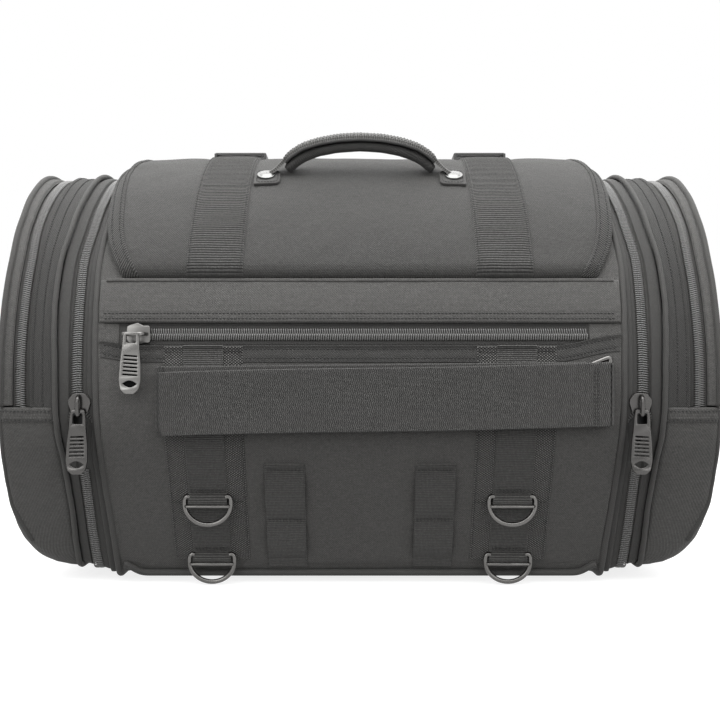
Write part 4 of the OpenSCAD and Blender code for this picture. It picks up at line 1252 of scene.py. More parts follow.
# twill binding along each side of the lid, wrapped round its edge
P = Parts()
SL = Parts()
for sg in (-1, 1):
    vv = axis_pts(0.6, LL - 0.6, 2.4, 4)
    prof_ = [(12.2, 0.12), (11.9, 0.75), (11.0, 0.95), (9.6, 0.72), (7.5, 0.6), (5.0, 0.7), (2.6, 0.9), (1.0, 0.85), (-0.1, 0.2), (-0.9, -1.4), (-0.7, -3.2), (0.6, -5.0)]
    rows = []
    for d, h in prof_:
        x = sg * (lid_edge(vv) - d)
        xc = sg * (lid_edge(vv) - max(d, 0.0))
        t = lid_top(xc, vv)
        if d < 2.0:
            base_ = -4.6 + (t + 4.6) * edge_drop(np.full(len(vv), max(d, 0.0)), 2.4) if d >= 1.0 else None
        hh = t + h if d >= 1.0 else lid_top(sg * (lid_edge(vv) - 1.0), vv) + h
        # the binding fades into the roll at the sewn end
        hh = hh - 0.7 * np.exp(-vv / 3.0)
        y, z = LID.at(vv, hh)
        rows.append(np.stack([x, y, z], -1))
    R = np.array(rows)
    n_, m_ = R.shape[:2]
    uvb = np.stack([np.repeat(np.array([p_[0] for p_ in prof_])[:, None], m_, 1).ravel() * sg, np.repeat(vv[None], n_, 0).ravel()], 1)
    P.add(R, grid_faces(n_, m_), uvb)
    for d in (2.9, 9.4):
        s = np.linspace(3, LL - 3, 500)
        x = sg * (lid_edge(s) - d)
        h = lid_top(x, s) + np.interp(d, [2.6, 5, 7.5, 9.6, 11], [0.9, 0.7, 0.6, 0.72, 0.95])
        pts = lid_map_x(x, s, h + 0.08)
        y1, z1 = LID.at(s, h + 1)
        nn = np.stack([0 * s, y1 - pts[:, 1], z1 - pts[:, 2]], 1)
        stitches(SL, pts, nn, pitch=3.1, length=1.8)
ob = P.make("lid_side_binding", TWILL, warped=False)
md = ob.modifiers.new("s", "SOLIDIFY"); md.thickness = 0.5 * MM; md.offset = 0
apply_mods(ob)
fix_normals(ob)
done(ob, "lid", "lid_binding")

# cord of fabric under the sewn edge
ob = slab("seam_binding", body_map, axis_pts(-199, 199, 4, 1.5), axis_pts(sz(249.4), sz(246.0), 0.8, 1.0), lambda U, V: 2.8 + 0.2 * nz(U * .08, V), 0.1, 1.0, BODY)
done(ob, "bag_body", "lid_seam_binding")


# ---------------------------------------------------------------- webbing
def tri(t):
    return 2 * np.abs((t % 1.0) - 0.5)


def ribs(s, pitch):
    """Rounded ribs with narrow grooves between them."""
    return np.abs(np.sin(np.pi * s / pitch)) ** 0.55


def web_disp(kind, c, w, s):
    """Weave relief at distance c across a web of width w, and s along it."""
    edge = np.minimum(c, w - c)
    if kind == "rib":
        r = ribs(s, 2.3)
        y = 0.5 + 0.5 * np.cos(2 * np.pi * c / 1.05)
        body = 0.42 * r * (0.8 + 0.2 * y)
        selv = 0.30 * (0.5 + 0.5 * np.cos(2 * np.pi * c / 1.2)) + 0.10 * ribs(s, 1.15)
        k = sstep(edge, 3.0, 3.9)
        return body * k + selv * (1 - k) - 0.12 * gauss(edge, 3.5, 0.35)
    if kind == "fine":
        r = ribs(s, 1.55)
        y = 0.5 + 0.5 * np.cos(2 * np.pi * c / 1.0)
        k = sstep(edge, 1.6, 2.4)
        return 0.27 * r * (0.75 + 0.25 * y) * k + (1 - k) * (0.2 + 0.08 * ribs(s, 1.0)) - 0.08 * gauss(edge, 2.0, 0.3)
    if kind == "dots":
        a_ = np.sin(2 * np.pi * s / 2.1 + np.pi * np.floor(c / 1.35))
        b_ = np.abs(np.sin(np.pi * c / 1.35)) ** 0.6
        k = sstep(edge, 1.4, 2.2)
        return (0.16 + 0.22 * a_) * b_ * k + (1 - k) * 0.2
    if kind == "zigzag":
        ph = s / 1.62 + 0.62 * tri(c / 5.4)
        r = np.abs(np.sin(np.pi * ph)) ** 0.6
        k = sstep(edge, 1.2, 2.4)
        return 0.30 * r * k + (1 - k) * 0.22
    return 0.0


def lid_web_off(x, s):
    return lid_top(x, s)


for sg in (-1, 1):
    x0, x1 = sg * 115.0 - 22.5, sg * 115.0 + 22.5
    cc = np.unique(np.concatenate([np.linspace(0, 4.2, 12), np.linspace(4.2, 40.8, 48), np.linspace(40.8, 45, 12)]))
    ss = np.arange(0.5, LL - 0.4, 0.48)
    ss = np.r_[ss[0] - 0.3, ss, ss[-1] + 0.3]

    def woff(U, V, x0=x0, sg=sg):
        c = U - x0
        e_ = np.minimum(c, 45 - c)
        curl = -0.25 * np.exp(-e_ / 1.2)
        return lid_web_off(U, V) + 1.35 + curl + web_disp("rib", c, 45.0, V) + 0.22 * nz(U * 0.05, V * 0.03, 3.0 + sg)
    ob = slab(f"lid_strap_{ROTS[sg]}", lid_map_x, x0 + cc, ss, woff, lambda U, V: lid_web_off(U, V) + 0.05, 0.55, WEB)
    done(ob, "lid", *(["lid_straps"] if sg < 0 else []))
    for c in (1.9, 43.1):
        s = np.linspace(4, LL - 6, 600)
        h = lid_web_off(x0 + c + 0 * s, s) + 1.65
        pts = lid_map_x(x0 + c + 0 * s, s, h)
        y1, z1 = LID.at(s, h + 1)
        stitches(SL, pts, np.stack([0 * s, y1 - pts[:, 1], z1 - pts[:, 2]], 1), pitch=3.0, length=2.2, r=0.3)
ob = SL.make("lid_stitches", THREAD, warped=False)
done(ob, "lid")


# wide webbing on the front panel, narrow webbing on it, and the belt loops
def panel_h(x, s):
    """Stand-off of the front panel's face."""
    st = panel_top(x)
    return panel_off(x, (s - st) / (SB - st))


def web_on_body(name, mat, x0, x1, s0, s1, kind, base, thick=1.3, step=0.5, fold_top=False, fold_bot=False, taper=0.0, parts=None, body="bag_body", seed=0.0, cstep=None):
    w = x1 - x0
    cc = np.unique(np.concatenate([np.linspace(0, 2.6, 8), np.linspace(2.6, w - 2.6, max(4, int((w - 5.2) / (cstep or 0.75)))), np.linspace(w - 2.6, w, 8)]))
    ss = np.arange(s0, s1, step)

    def top(U, V):
        c = U - x0
        t = base(U, V) + thick + web_disp(kind, c, w, V) + 0.2 * nz(U * 0.06, V * 0.03, seed) - 0.2 * np.exp(-np.minimum(c, w - c) / 1.0)
        if fold_top:
            t = t + 1.1 * np.exp(-((V - s0 - 1.3) / 1.3) ** 2)
        if fold_bot:
            t = t + 0.9 * np.exp(-((s1 - V - 1.3) / 1.3) ** 2)
        return t
    return slab(name, body_map, x0 + cc, ss, top, lambda U, V: base(U, V) - 0.05, 0.6, mat, uvoff=(-x0, 0), parts=parts)


FZ = FOOT_Z + 1.5
for sg in (-1, 1):
    side = ROTS[sg]
    xc = sg * 122.0
    s0, s1 = sz(195.6), sz(FZ + 1)
    ob = web_on_body(f"base_webbing_{side}", WEBZ, xc - 31, xc + 31, s0, s1, "dots", panel_h, thick=0.85, step=0.52, fold_top=True, seed=2.0 + sg, cstep=0.68)
    done(ob, "bag_body", *(["base_webbing"] if sg < 0 else []))

    def on_wide(U, V):
        return panel_h(U, V) + 1.0
    sru, srl = sz(72.6), OUT.s_at_z(21.6, 20, HALF - 97)
    # the narrow webbing swells over each ring's bar
    def narrow_base(U, V):
        b = on_wide(U, V)
        for sc_ in (sru, srl):
            b = b + 5.2 * np.exp(-((V - sc_) / 4.2) ** 2)
        return b
    segs = ((s0 - 0.6, sru + 3.8, "a"), (sru + 4.6, srl + 3.8, "b"), (srl + 4.6, s1 - 1, "c"))
    P = Parts()
    for a_, b_, tg in segs:
        if b_ - a_ < 2.0:
            continue
        def base_(U, V, a_=a_, b_=b_, tg=tg):
            h = on_wide(U, V)
            sc_ = sru if tg == "a" else srl if tg == "b" else None
            if sc_ is not None:
                h = h + 5.4 * sstep(V, sc_ - 8.5, sc_ - 1.5)
            return h
        web_on_body("n", WEBF, xc - 15.5, xc + 15.5, a_, b_, "fine", base_, thick=1.15, step=0.39, fold_top=(tg == "a"), parts=P, seed=4.0 + sg, cstep=0.8)
    ob = P.make(f"ring_webbing_{side}", WEBF)
    fix_normals(ob)
    done(ob, "bag_body", *(["ring_webbing"] if sg < 0 else []))
    # stitch rows above each ring, along the wide webbing's edges and across it
    for sc_, dz in ((sru, -9.6), (srl, -9.6)):
        x = np.linspace(xc - 13.5, xc + 13.5, 60)
        for e_ in (0.0, 1.9):
            stitch_body(ST, x, sc_ + dz - e_ + 0 * x, on_wide(x, sc_ + dz + 0 * x) + 1.75 + 0.8, pitch=2.8, length=1.7, r=0.5)
    x = np.linspace(xc - 30, xc + 30, 90)
    stitch_body(ST, x, sru + 1.0 + 0 * x, panel_h(x, sru + 0 * x) + 1.35, pitch=2.8, length=1.7, r=0.5)
    for c in (-29.4, 29.4):
        s = np.linspace(s0 + 3, s1 - 3, 300)
        stitch_body(ST, xc + c + 0 * s, s, panel_h(xc + c + 0 * s, s) + 1.2, pitch=2.9, length=2.1, r=0.3)
    x = np.linspace(xc - 29, xc + 29, 90)
    stitch_body(ST, x, s0 + 4.2 + 0 * x, panel_h(x, s0 + 4.2 + 0 * x) + 1.45, pitch=2.8, length=1.7, r=0.5)

    # belt loops
    xb = sg * 60.0
    sb0, sb1 = sz(103.6), OUT.s_at_z(13.5, 20, HALF - 97)
    sa, sm, sf_ = sz(98.6), sz(56.5), sz(22.5)

    def loop_base(U, V, sa=sa, sm=sm, sf_=sf_):
        h = panel_h(U, V)
        bow1 = np.sin(np.clip((V - sa) / (sm - sa), 0, 1) * np.pi) ** 0.7
        bow2 = np.sin(np.clip((V - sm) / (sf_ - sm), 0, 1) * np.pi) ** 0.7
        return h + 3.0 * bow1 + 3.0 * bow2
    ob = web_on_body(f"belt_loop_{side}", WEBF, xb - 16, xb + 16, sb0, sb1, "fine", loop_base, thick=1.2, step=0.39, fold_top=True, seed=7.0 + sg, cstep=0.8)
    done(ob, "bag_body", *(["belt_loops"] if sg < 0 else []))
    x = np.linspace(xb - 14, xb + 14, 60)
    for sc_ in (sa - 0.4, sm, sm + 1.6):
        stitch_body(ST, x, sc_ + 0 * x, panel_h(x, sc_ + 0 * x) + 1.75, pitch=2.8, length=1.7, r=0.5)

# bottom piping with rounded corners, front and back
for bk in (0, 1):
    P = Parts()
    t = np.linspace(-1, 1, 240)
    x = t * 200.5
    zb = 9.0 + 8.2 * sstep(np.abs(x), 176, 200.5) ** 2
    ss_ = np.array([OUT.s_at_z(z_, 20, HALF - 97) for z_ in zb])
    if bk:
        ss_ = -ss_
    pth, nrm = body_line(x, ss_, -0.2)
    pth = pth + np.array([0, 0.3 if bk else -2.4, -1.3 if bk else -1.9])
    sweep(P, pth, circle(2.75, 12), up=None)
    ob = P.make(f"bottom_piping_{'back' if bk else 'front'}", PIPE)
    fix_normals(ob)
    done(ob, "bag_body")

# straps on the far side (their buckles are built further down)
for sg in (-1, 1):
    side = ROTS[sg]
    x0, x1 = sg * 115 - 22.5, sg * 115 + 22.5
    sA, sB = -sz(226), -sz(FZ + 1)
    cc = np.unique(np.concatenate([np.linspace(0, 4, 10), np.linspace(4, 41, 42), np.linspace(41, 45, 10)]))
    ss = np.arange(sB, sA, 0.55)
    sho = lambda U, V: shell_off(U, np.mod(V, OUT.L)) + 0.6
    ob = slab(f"back_strap_{side}", body_map, x0 + cc, ss, lambda U, V: sho(U, V) + 1.35 + web_disp("rib", U - x0, 45.0, V), lambda U, V: sho(U, V), 0.6, WEB)
    done(ob, "bag_body", *(["back_straps"] if sg < 0 else []))

ob = ST.make("body_stitches", THREAD, warped=False)
done(ob, "bag_body")


# ---------------------------------------------------------------- cinch strap
def flat_map(y0, tiltz=0.0):
    def f(U, V, O):
        return np.stack([U + 0 * V, y0 - O + 0 * U, V + tiltz * U], -1)
    return f


def cloth_flat(name, mat, mapping, x0, x1, z0, z1, kind, thick, bot, step=0.5, cstep=0.45, e=0.6, parts=None, wave_=0.0, seed=0.0):
    u = np.arange(x0, x1 + step * 0.5, step)
    w = z1 - z0
    cc = np.unique(np.concatenate([np.linspace(0, 2, 6), np.linspace(2, w - 2, int((w - 4) / cstep)), np.linspace(w - 2, w, 6)]))

    def top(U, V):
        return thick + web_disp(kind, V - z0, w, U) + wave_ * nz(U * 0.03, V * 0.05, seed)
    return slab(name, mapping, u, z0 + cc, top, bot, e, mat, uvoff=(0, -z0), uvswap=True, parts=parts)


# under layer, sewn down at the left and wrapped round the far bar of the ring's loop
# its darker webbing is painted shade, standing for the shadow of the front layer over it
ob = cloth_flat("cinch_under_layer", CINCH_SHADED, flat_map(-168.0, 0.011), -158.5, 176, 130.0, 181.6, "zigzag", 0.9, -0.6, cstep=0.55, step=0.55, wave_=0.25, seed=1.0)
done(ob, "bag_body", "cinch_base_strip")
# front layer
TILT = 7.6 / 354.0


def front_map(U, V, O):
    # slightly bowed, lower at the left
    z = V + TILT * (U + 156) + 0.5 * np.sin((U + 156) / 350 * 2.2 * np.pi)
    y = -172.0 - O - 0.9 * np.sin(np.clip((U + 156) / 350, 0, 1) * np.pi) + 0.0 * U
    # the cut end at the left tips in a little at the bottom
    U2 = U + 3.0 * np.exp(-np.clip(U + 156, 0, None) / 4.0) * sstep(140 - V, 0, 14) + 0.0
    return np.stack([U2, y, z], -1)


P = Parts()
cloth_flat("f", CINCH, front_map, -155.5, 193.5, 126.0, 175.6, "zigzag", 0.95, -0.7, cstep=0.42, step=0.5, wave_=0.35, seed=3.0, parts=P)
# the fold round the ring's right bar, with the return under it
fa = np.radians(np.linspace(-86, 92, 22))
rr = 4.3
zz = np.unique(np.concatenate([np.linspace(0, 2, 6), np.linspace(2, 46, 96), np.linspace(46, 48.4, 6)]))
A_, Z_ = np.meshgrid(fa, zz, indexing="ij")
cz = 126.6 + TILT * (195 + 156)
relief = 0.26 * np.abs(np.sin(np.pi * (A_ * rr) / 1.5)) ** 0.6 + 0.05 * np.sin(2 * np.pi * Z_ / 1.6)
edge_ = edge_drop(np.minimum(Z_, 48.4 - Z_), 0.8)
Ro = rr + (-0.8 + 1.0 * edge_) + relief * edge_
yc = -168.75
pts = np.stack([193.6 + (Ro) * np.cos(A_) * 0.62, yc + Ro * np.sin(A_) * 0.96, cz + Z_], -1)
pin = np.stack([193.6 + (rr - 1.5) * np.cos(A_) * 0.62, yc + (rr - 1.5) * np.sin(A_) * 0.96, cz + Z_], -1)
n_, m_ = A_.shape
k_ = n_ * m_
a = np.arange(k_).reshape(n_, m_)
loop = np.concatenate([a[:-1, 0], a[-1, :-1], a[:0:-1, -1], a[0, :0:-1]])
nxt = np.roll(loop, -1)
P.add(np.concatenate([pts.reshape(-1, 3), pin.reshape(-1, 3)]),
      np.concatenate([grid_faces(n_, m_), grid_faces(n_, m_)[:, ::-1] + k_, np.stack([nxt, loop, loop + k_, nxt + k_], 1)]),
      np.concatenate([np.stack([Z_.ravel(), (A_ * rr).ravel()], 1)] * 2))
ob = P.make("cinch_front_layer", CINCH)
fix_normals(ob)
done(ob, "cinch_strap", "cinch_strap")
# loop that holds the ring
P = Parts()
fa = np.radians(np.linspace(90, 270, 18))
zl_ = np.linspace(143, 181.5, 60)
A_, Z_ = np.meshgrid(fa, zl_, indexing="ij")
for r0_, r1_ in ((2.9, 2.0),):
    po = np.stack([181 - 0 + r0_ * np.cos(A_ + np.pi), -168.6 + r0_ * np.sin(A_ + np.pi), Z_], -1)
    pi_ = np.stack([181 + r1_ * np.cos(A_ + np.pi), -168.6 + r1_ * np.sin(A_ + np.pi), Z_], -1)
    n_, m_ = A_.shape
    k_ = n_ * m_
    a = np.arange(k_).reshape(n_, m_)
    loop = np.concatenate([a[:-1, 0], a[-1, :-1], a[:0:-1, -1], a[0, :0:-1]])
    nxt = np.roll(loop, -1)
    P.add(np.concatenate([po.reshape(-1, 3), pi_.reshape(-1, 3)]), np.concatenate([grid_faces(n_, m_), grid_faces(n_, m_)[:, ::-1] + k_, np.stack([nxt, loop, loop + k_, nxt + k_], 1)]))
slab("x", flat_map(-166.6), np.arange(172, 181.1, 0.6), np.linspace(143, 181.5, 60), 0.6, -0.8, 0.5, CINCH, parts=P)
ob = P.make("cinch_ring_loop", CINCH)
fix_normals(ob)
done(ob, "bag_body", "cinch_anchor_loop")
# end stitches of the cinch strap's layers
P = Parts()
for dx in (4.0, 6.4):
    z = np.linspace(132.5, 183.0, 60)
    stitches(P, np.stack([-158.5 + dx + 0 * z, -169.0 + 0 * z, z - 1.5], 1), (0, -1, 0), pitch=2.8, length=1.7, r=0.5)
ob = P.make("cinch_stitches_under", THREAD, warped=False)
done(ob, "bag_body")
P = Parts()
for xq in (180.5, 183.0):
    z = np.linspace(128.0, 173.0, 60)
    q = front_map(xq + 0 * z, z, 1.15 + 0 * z)
    stitches(P, q, (0, -1, 0), pitch=2.8, length=1.7, r=0.5)
# frayed, sealed end of the free layer
z = np.linspace(126.4, 175.2, 120)
q = front_map(-155.2 + 0 * z, z, 0.4 + 0 * z)
q[:, 0] += 0.25 * nz(z * 0.9, 0 * z, 2.0)
sweep(P, q, circle(0.75, 8, 0.7, 1.3))
ob = P.make("cinch_stitches_free", THREAD, warped=False)
done(ob, "cinch_strap")


# ---------------------------------------------------------------- metal
def bevel_copy(node, name, mat, body, width=0.25, segs=2, angle=30, sub=0):
    """A cleaned copy of a CAD node with softened edges."""
    src = NODES[node]
    me = src.data.copy()
    ob = bpy.data.objects.new(name, me)
    bpy.context.scene.collection.objects.link(ob)
    bm = bmesh.new(); bm.from_mesh(me)
    bmesh.ops.remove_doubles(bm, verts=bm.verts, dist=2e-6)
    bmesh.ops.dissolve_limit(bm, angle_limit=math.radians(1.0), verts=bm.verts, edges=bm.edges)
    for f in bm.faces:
        f.smooth = True
    bm.to_mesh(me); bm.free()
    md = ob.modifiers.new("b", "BEVEL")
    md.width = width * MM; md.segments = segs; md.limit_method = "ANGLE"; md.angle_limit = math.radians(angle)
    md.use_clamp_overlap = True; md.harden_normals = False; md.miter_outer = "MITER_ARC"
    wn = ob.modifiers.new("w", "WEIGHTED_NORMAL"); wn.keep_sharp = True; wn.weight = 80
    apply_mods(ob)
    for sl in range(len(ob.data.materials)):
        ob.data.materials[sl] = mat
    if not ob.data.materials:
        ob.data.materials.append(mat)
    return done(ob, body, node)


def rounded(pts, r, n=5):
    """A closed outline with its corners rounded by r (or a list of radii)."""
    pts = np.asarray(pts, float)
    out = []
    k = len(pts)
    rs = np.broadcast_to(np.asarray(r, float), (k,))
    for i in range(k):
        a_, b_, c_ = pts[i - 1], pts[i], pts[(i + 1) % k]
        u_, v_ = a_ - b_, c_ - b_
        lu, lv = np.linalg.norm(u_), np.linalg.norm(v_)
        u_, v_ = u_ / lu, v_ / lv
        cosv = np.clip(u_ @ v_, -1, 1)
        ang = math.acos(cosv)
        d = min(rs[i] / max(math.tan(ang / 2), 1e-3), 0.48 * min(lu, lv))
        p0, p1 = b_ + u_ * d, b_ + v_ * d
        for t in np.linspace(0, 1, n + 1):
            out.append((1 - t) ** 2 * p0 + 2 * t * (1 - t) * b_ + t * t * p1)
    return np.array(out)


def plate(name, outer, holes, y0, y1, mat, bevel=0.35, segs=3, extra=None):
    """A flat plate in XZ with holes, extruded along Y and softened."""
    cu = bpy.data.curves.new(name, "CURVE")
    cu.dimensions = "2D"
    cu.fill_mode = "BOTH"
    for loop_ in [outer] + holes:
        sp = cu.splines.new("POLY")
        sp.points.add(len(loop_) - 1)
        for i, q in enumerate(loop_):
            sp.points[i].co = (q[0] * MM, q[1] * MM, 0, 1)
        sp.use_cyclic_u = True
    cu.extrude = (y1 - y0) / 2 * MM - bevel * MM
    cu.bevel_depth = bevel * MM
    cu.bevel_resolution = segs
    cu.offset = -bevel * MM
    ob = bpy.data.objects.new(name, cu)
    bpy.context.scene.collection.objects.link(ob)
    bpy.context.view_layer.update()
    dg = bpy.context.evaluated_depsgraph_get()
    me = bpy.data.meshes.new_from_object(ob.evaluated_get(dg))
    bpy.data.objects.remove(ob)
    bpy.data.curves.remove(cu)
    co = np.zeros(len(me.vertices) * 3); me.vertices.foreach_get("co", co)
    co = co.reshape(-1, 3) / MM
    v = np.stack([co[:, 0], (y0 + y1) / 2 - co[:, 2], co[:, 1]], 1)
    fs = [list(p.vertices) for p in me.polygons]
    bpy.data.meshes.remove(me)
    return v, fs


class Mixed:
    """Collects shapes with any faces into one mesh."""

    def __init__(self):
        self.v, self.f, self.n = [], [], 0

    def add(self, v, f):
        v = np.asarray(v, float).reshape(-1, 3)
        self.v.append(v)
        self.f += [[int(i) + self.n for i in q] for q in f]
        self.n += len(v)

    def sweep(self, path, sec, **kw):
        p_ = Parts()
        sweep(p_, path, sec, **kw)
        f = p_.f[0]
        self.add(p_.v[0], [list(dict.fromkeys(q)) for q in f.tolist()])

    def make(self, name, mat, move=(0, 0, 0), mirror=False, mirror_y=False, sharp=35):
        v = np.concatenate(self.v)
        if mirror:
            v = v * [-1, 1, 1]
        if mirror_y:
            v = v * [1, -1, 1]
        v = v + np.asarray(move, float)
        me = bpy.data.meshes.new(name)
        me.from_pydata((v * MM).tolist(), [], self.f)
        me.validate()
        bm = bmesh.new(); bm.from_mesh(me)
        bmesh.ops.remove_doubles(bm, verts=bm.verts, dist=3e-6)
        bmesh.ops.recalc_face_normals(bm, faces=bm.faces)
        for f in bm.faces:
            f.smooth = True
        for e in bm.edges:
            if len(e.link_faces) == 2 and e.calc_face_angle(0) > math.radians(sharp):
                e.smooth = False
        bm.to_mesh(me); bm.free()
        me.materials.append(mat)
        ob = bpy.data.objects.new(name, me)
        bpy.context.scene.collection.objects.link(ob)
        return ob


def pull_shape(bar=True, front_style=False):
    """A zip pull hanging from the origin, facing -Y: window, six slots, lens hole and a thick lip."""
    m = Mixed()
    Lp = 49.5
    top = 1.6 if not front_style else -1.2
    outer = rounded([[-5.2, top], [5.2, top], [6.2, -5], [6.6, -13], [7.9, -25], [8.4, -38], [7.0, -Lp + 4.2], [3.4, -Lp + 0.8], [-3.4, -Lp + 0.8], [-7.0, -Lp + 4.2], [-8.4, -38], [-7.9, -25], [-6.6, -13], [-6.2, -5]],
                    [2.2, 2.2, 3, 3, 8, 8, 3, 3, 3, 3, 8, 8, 3, 3])
    holes = [rounded([[-3.7, -1.2 if bar else -3.2], [3.7, -1.2 if bar else -3.2], [3.9, -9.6], [-3.9, -9.6]][::-1], 1.2)]
    for i in range(6):
        z = -19.6 - i * 2.9
        w = 5.1 + 0.12 * i
        holes.append(rounded([[-w, z + 0.62 + 0.25], [w, z + 0.62 - 0.25], [w, z - 0.62 - 0.25], [-w, z - 0.62 + 0.25]][::-1], 0.4, 2))
    t = np.linspace(0, 1, 14)
    lens = np.concatenate([np.stack([-5.6 + 11.2 * t, -40.9 + 2.5 * np.sin(np.pi * t)], 1), np.stack([5.6 - 11.2 * t, -40.9 - 2.8 * np.sin(np.pi * t)], 1)[1:-1]])
    holes.append(lens[::-1])
    v, f = plate("p", outer, holes, -1.15, 1.15, METAL, bevel=0.42, segs=2)
    # the plate bends a little and thickens to a lip at its end
    z = v[:, 2]
    lip = sstep(-z, 43.2, 46.0)
    v[:, 1] = v[:, 1] * (1 + 0.55 * lip) - 0.5 * sstep(-z, 10, 40)
    m.add(v, f)
    if bar:
        m.sweep(np.array([[-5.0, 0, 0], [5.0, 0, 0]]), circle(1.25, 12))
    return m


def slider_shape():
    """A zip slider seen from outside, its origin on the face of the teeth, the chain running along Z."""
    m = Mixed()
    outer = rounded([[-5.2, 7.6], [-2.4, 8.2], [2.4, 8.2], [5.2, 7.6], [8.6, 3.4], [9.0, 0.5], [6.6, -6.6], [4.6, -7.2], [0.9, -5.0], [-0.9, -5.0], [-4.6, -7.2], [-6.6, -6.6], [-9.0, 0.5], [-8.6, 3.4]][::-1], [1.2, 1.5, 1.5, 1.2, 2, 2, 1.5, 1.2, 0.8, 0.8, 1.2, 1.5, 2, 2][::-1], 3)
    v, f = plate("s", outer, [], -3.3, -1.5, METAL, bevel=0.5, segs=3)
    v[:, 1] += 0.35 * (np.abs(v[:, 0]) / 9) ** 2
    m.add(v, f)
    for sx in (-1, 1):       # side flanges
        m.sweep(np.array([[sx * 6.0, -0.9, 6.6], [sx * 8.1, -0.9, 2.6], [sx * 8.3, -0.9, 0.2], [sx * 6.4, -0.9, -5.6]]), circle(0.8, 8, 1.0, 1.9), up=(0, 1, 0))
    # bridge: a bent bar from the nose down to the heel
    br = np.array([[0, -2.6, 6.6], [0, -5.2, 6.0], [0, -7.6, 4.6], [0, -9.0, 2.0], [0, -9.2, -2.5], [0, -9.0, -6.2], [0, -8.0, -8.6], [0, -6.0, -9.3], [0, -3.6, -8.2], [0, -2.4, -6.2]])
    m.sweep(resample(br, 0.7), circle(1.0, 12, 1.0, 1.55), up=(1, 0, 0))
    return m


FS = np.array([-171.0, float(OUT.at(sz(205.0), 0)[0]), 205.1])
EXP_Y = WALL_CY - (WALL_R - 3.8) * math.cos(rad(5))
EXP_Z = WALL_CZ - (WALL_R - 3.8) * math.sin(rad(5))
c5, s5 = math.cos(rad(5)), math.sin(rad(5))


def rot_x(v, a_):
    c_, s_ = math.cos(rad(a_)), math.sin(rad(a_))
    return np.stack([v[:, 0], v[:, 1] * c_ - v[:, 2] * s_, v[:, 1] * s_ + v[:, 2] * c_], 1)


def placed(m, ang, move, mirror=False, mirror_y=False):
    q = Mixed()
    q.v = [rot_x(v_, ang) for v_ in m.v]
    q.f, q.n = m.f, m.n
    v_ = np.concatenate(q.v) + np.asarray(move, float)
    if mirror:
        v_ = v_ * [-1, 1, 1]
    if mirror_y:
        v_ = v_ * [1, -1, 1]
    q.v = [v_]
    return q


for sg in (-1, 1):
    side = ROTS[sg]
    for kind, cx, d, back_ in (("expansion", EX, 3.8, False), ("end", EN, 4.6, True)):
        yy_ = WALL_CY - (WALL_R - d) * c5
        zz_ = WALL_CZ - (WALL_R - d) * s5
        sl = placed(slider_shape(), 5, (cx, yy_, zz_), mirror=sg < 0, mirror_y=back_)
        ob = sl.make(f"{kind}_slider_body_{side}", METAL)
        done(ob, f"{kind}_slider_{side}", f"{kind}_slider_{side}")
        py_ = yy_ - 6.5 * c5 + 5.8 * s5
        pz_ = zz_ - 6.5 * s5 - 5.8 * c5
        ps = pull_shape()
        lean = 1.2 if sg < 0 else -1.0
        # a pull never hangs quite straight
        ps.v = [np.stack([v_[:, 0] * math.cos(rad(lean)) - v_[:, 2] * math.sin(rad(lean)), v_[:, 1], v_[:, 0] * math.sin(rad(lean)) + v_[:, 2] * math.cos(rad(lean))], 1) for v_ in ps.v]
        pl = placed(ps, 0, (cx, py_, pz_), mirror=sg < 0, mirror_y=back_)
        ob = pl.make(f"{kind}_pull_plate_{side}", METAL)
        done(ob, f"{kind}_pull_{side}", f"{kind}_pull_{side}")

# front slider lies on its side, its bridge hooked over the pull's window
m = Mixed()
outer = rounded([[-10.4, 6.0], [-7.2, 7.4], [-2.0, 8.8], [2.6, 6.6], [6.8, 6.6], [7.6, 5.4], [7.6, -5.6], [6.8, -6.6], [2.4, -6.8], [-2.0, -8.0], [-8.8, -6.4], [-10.6, -4.0]][::-1], 1.6, 3)
v, f = plate("fs", outer, [], -3.3, -1.5, METAL, bevel=0.5, segs=3)
v[:, 1] += 0.3 * (np.abs(v[:, 2]) / 9) ** 2
m.add(v, f)
for sz_ in (-1, 1):
    m.sweep(np.array([[-8.5, -0.9, sz_ * 5.4], [-2, -0.9, sz_ * 6.9], [3.0, -0.9, sz_ * 5.4], [6.8, -0.9, sz_ * 5.0]]), circle(0.8, 8, 1.0, 1.9), up=(0, 1, 0))
br = np.array([[5.6, -2.6, 0], [5.4, -6.0, 0], [4.6, -10.4, 0], [2.6, -12.8, 0], [-1, -13.3, 0], [-7, -13.3, 0], [-10.2, -13.0, 0], [-12.0, -11.8, 0], [-12.2, -9.8, 0], [-10.6, -8.0, 0], [-8.4, -5.0, 0], [-7.6, -2.6, 0]])
m.sweep(resample(br, 0.8), circle(1.0, 12, 1.0, 1.5), up=(0, 0, 1))
ob = m.make("front_slider_body", METALF, move=FS)
done(ob, "front_slider", "front_slider", slot="zip_metal")
ps = pull_shape(bar=False, front_style=True)
for v_ in ps.v:
    v_[:, 1] += -1.6
    v_[:, 2] += 2.6
ps.v = [np.stack([v_[:, 0] * math.cos(rad(-1.6)) - v_[:, 2] * math.sin(rad(-1.6)), v_[:, 1], v_[:, 0] * math.sin(rad(-1.6)) + v_[:, 2] * math.cos(rad(-1.6))], 1) for v_ in ps.v]
ob = ps.make("front_pull_plate", METALF, move=FS + [-4.2, -13.1, 0])
done(ob, "front_pull", "front_pull", slot="zip_metal")
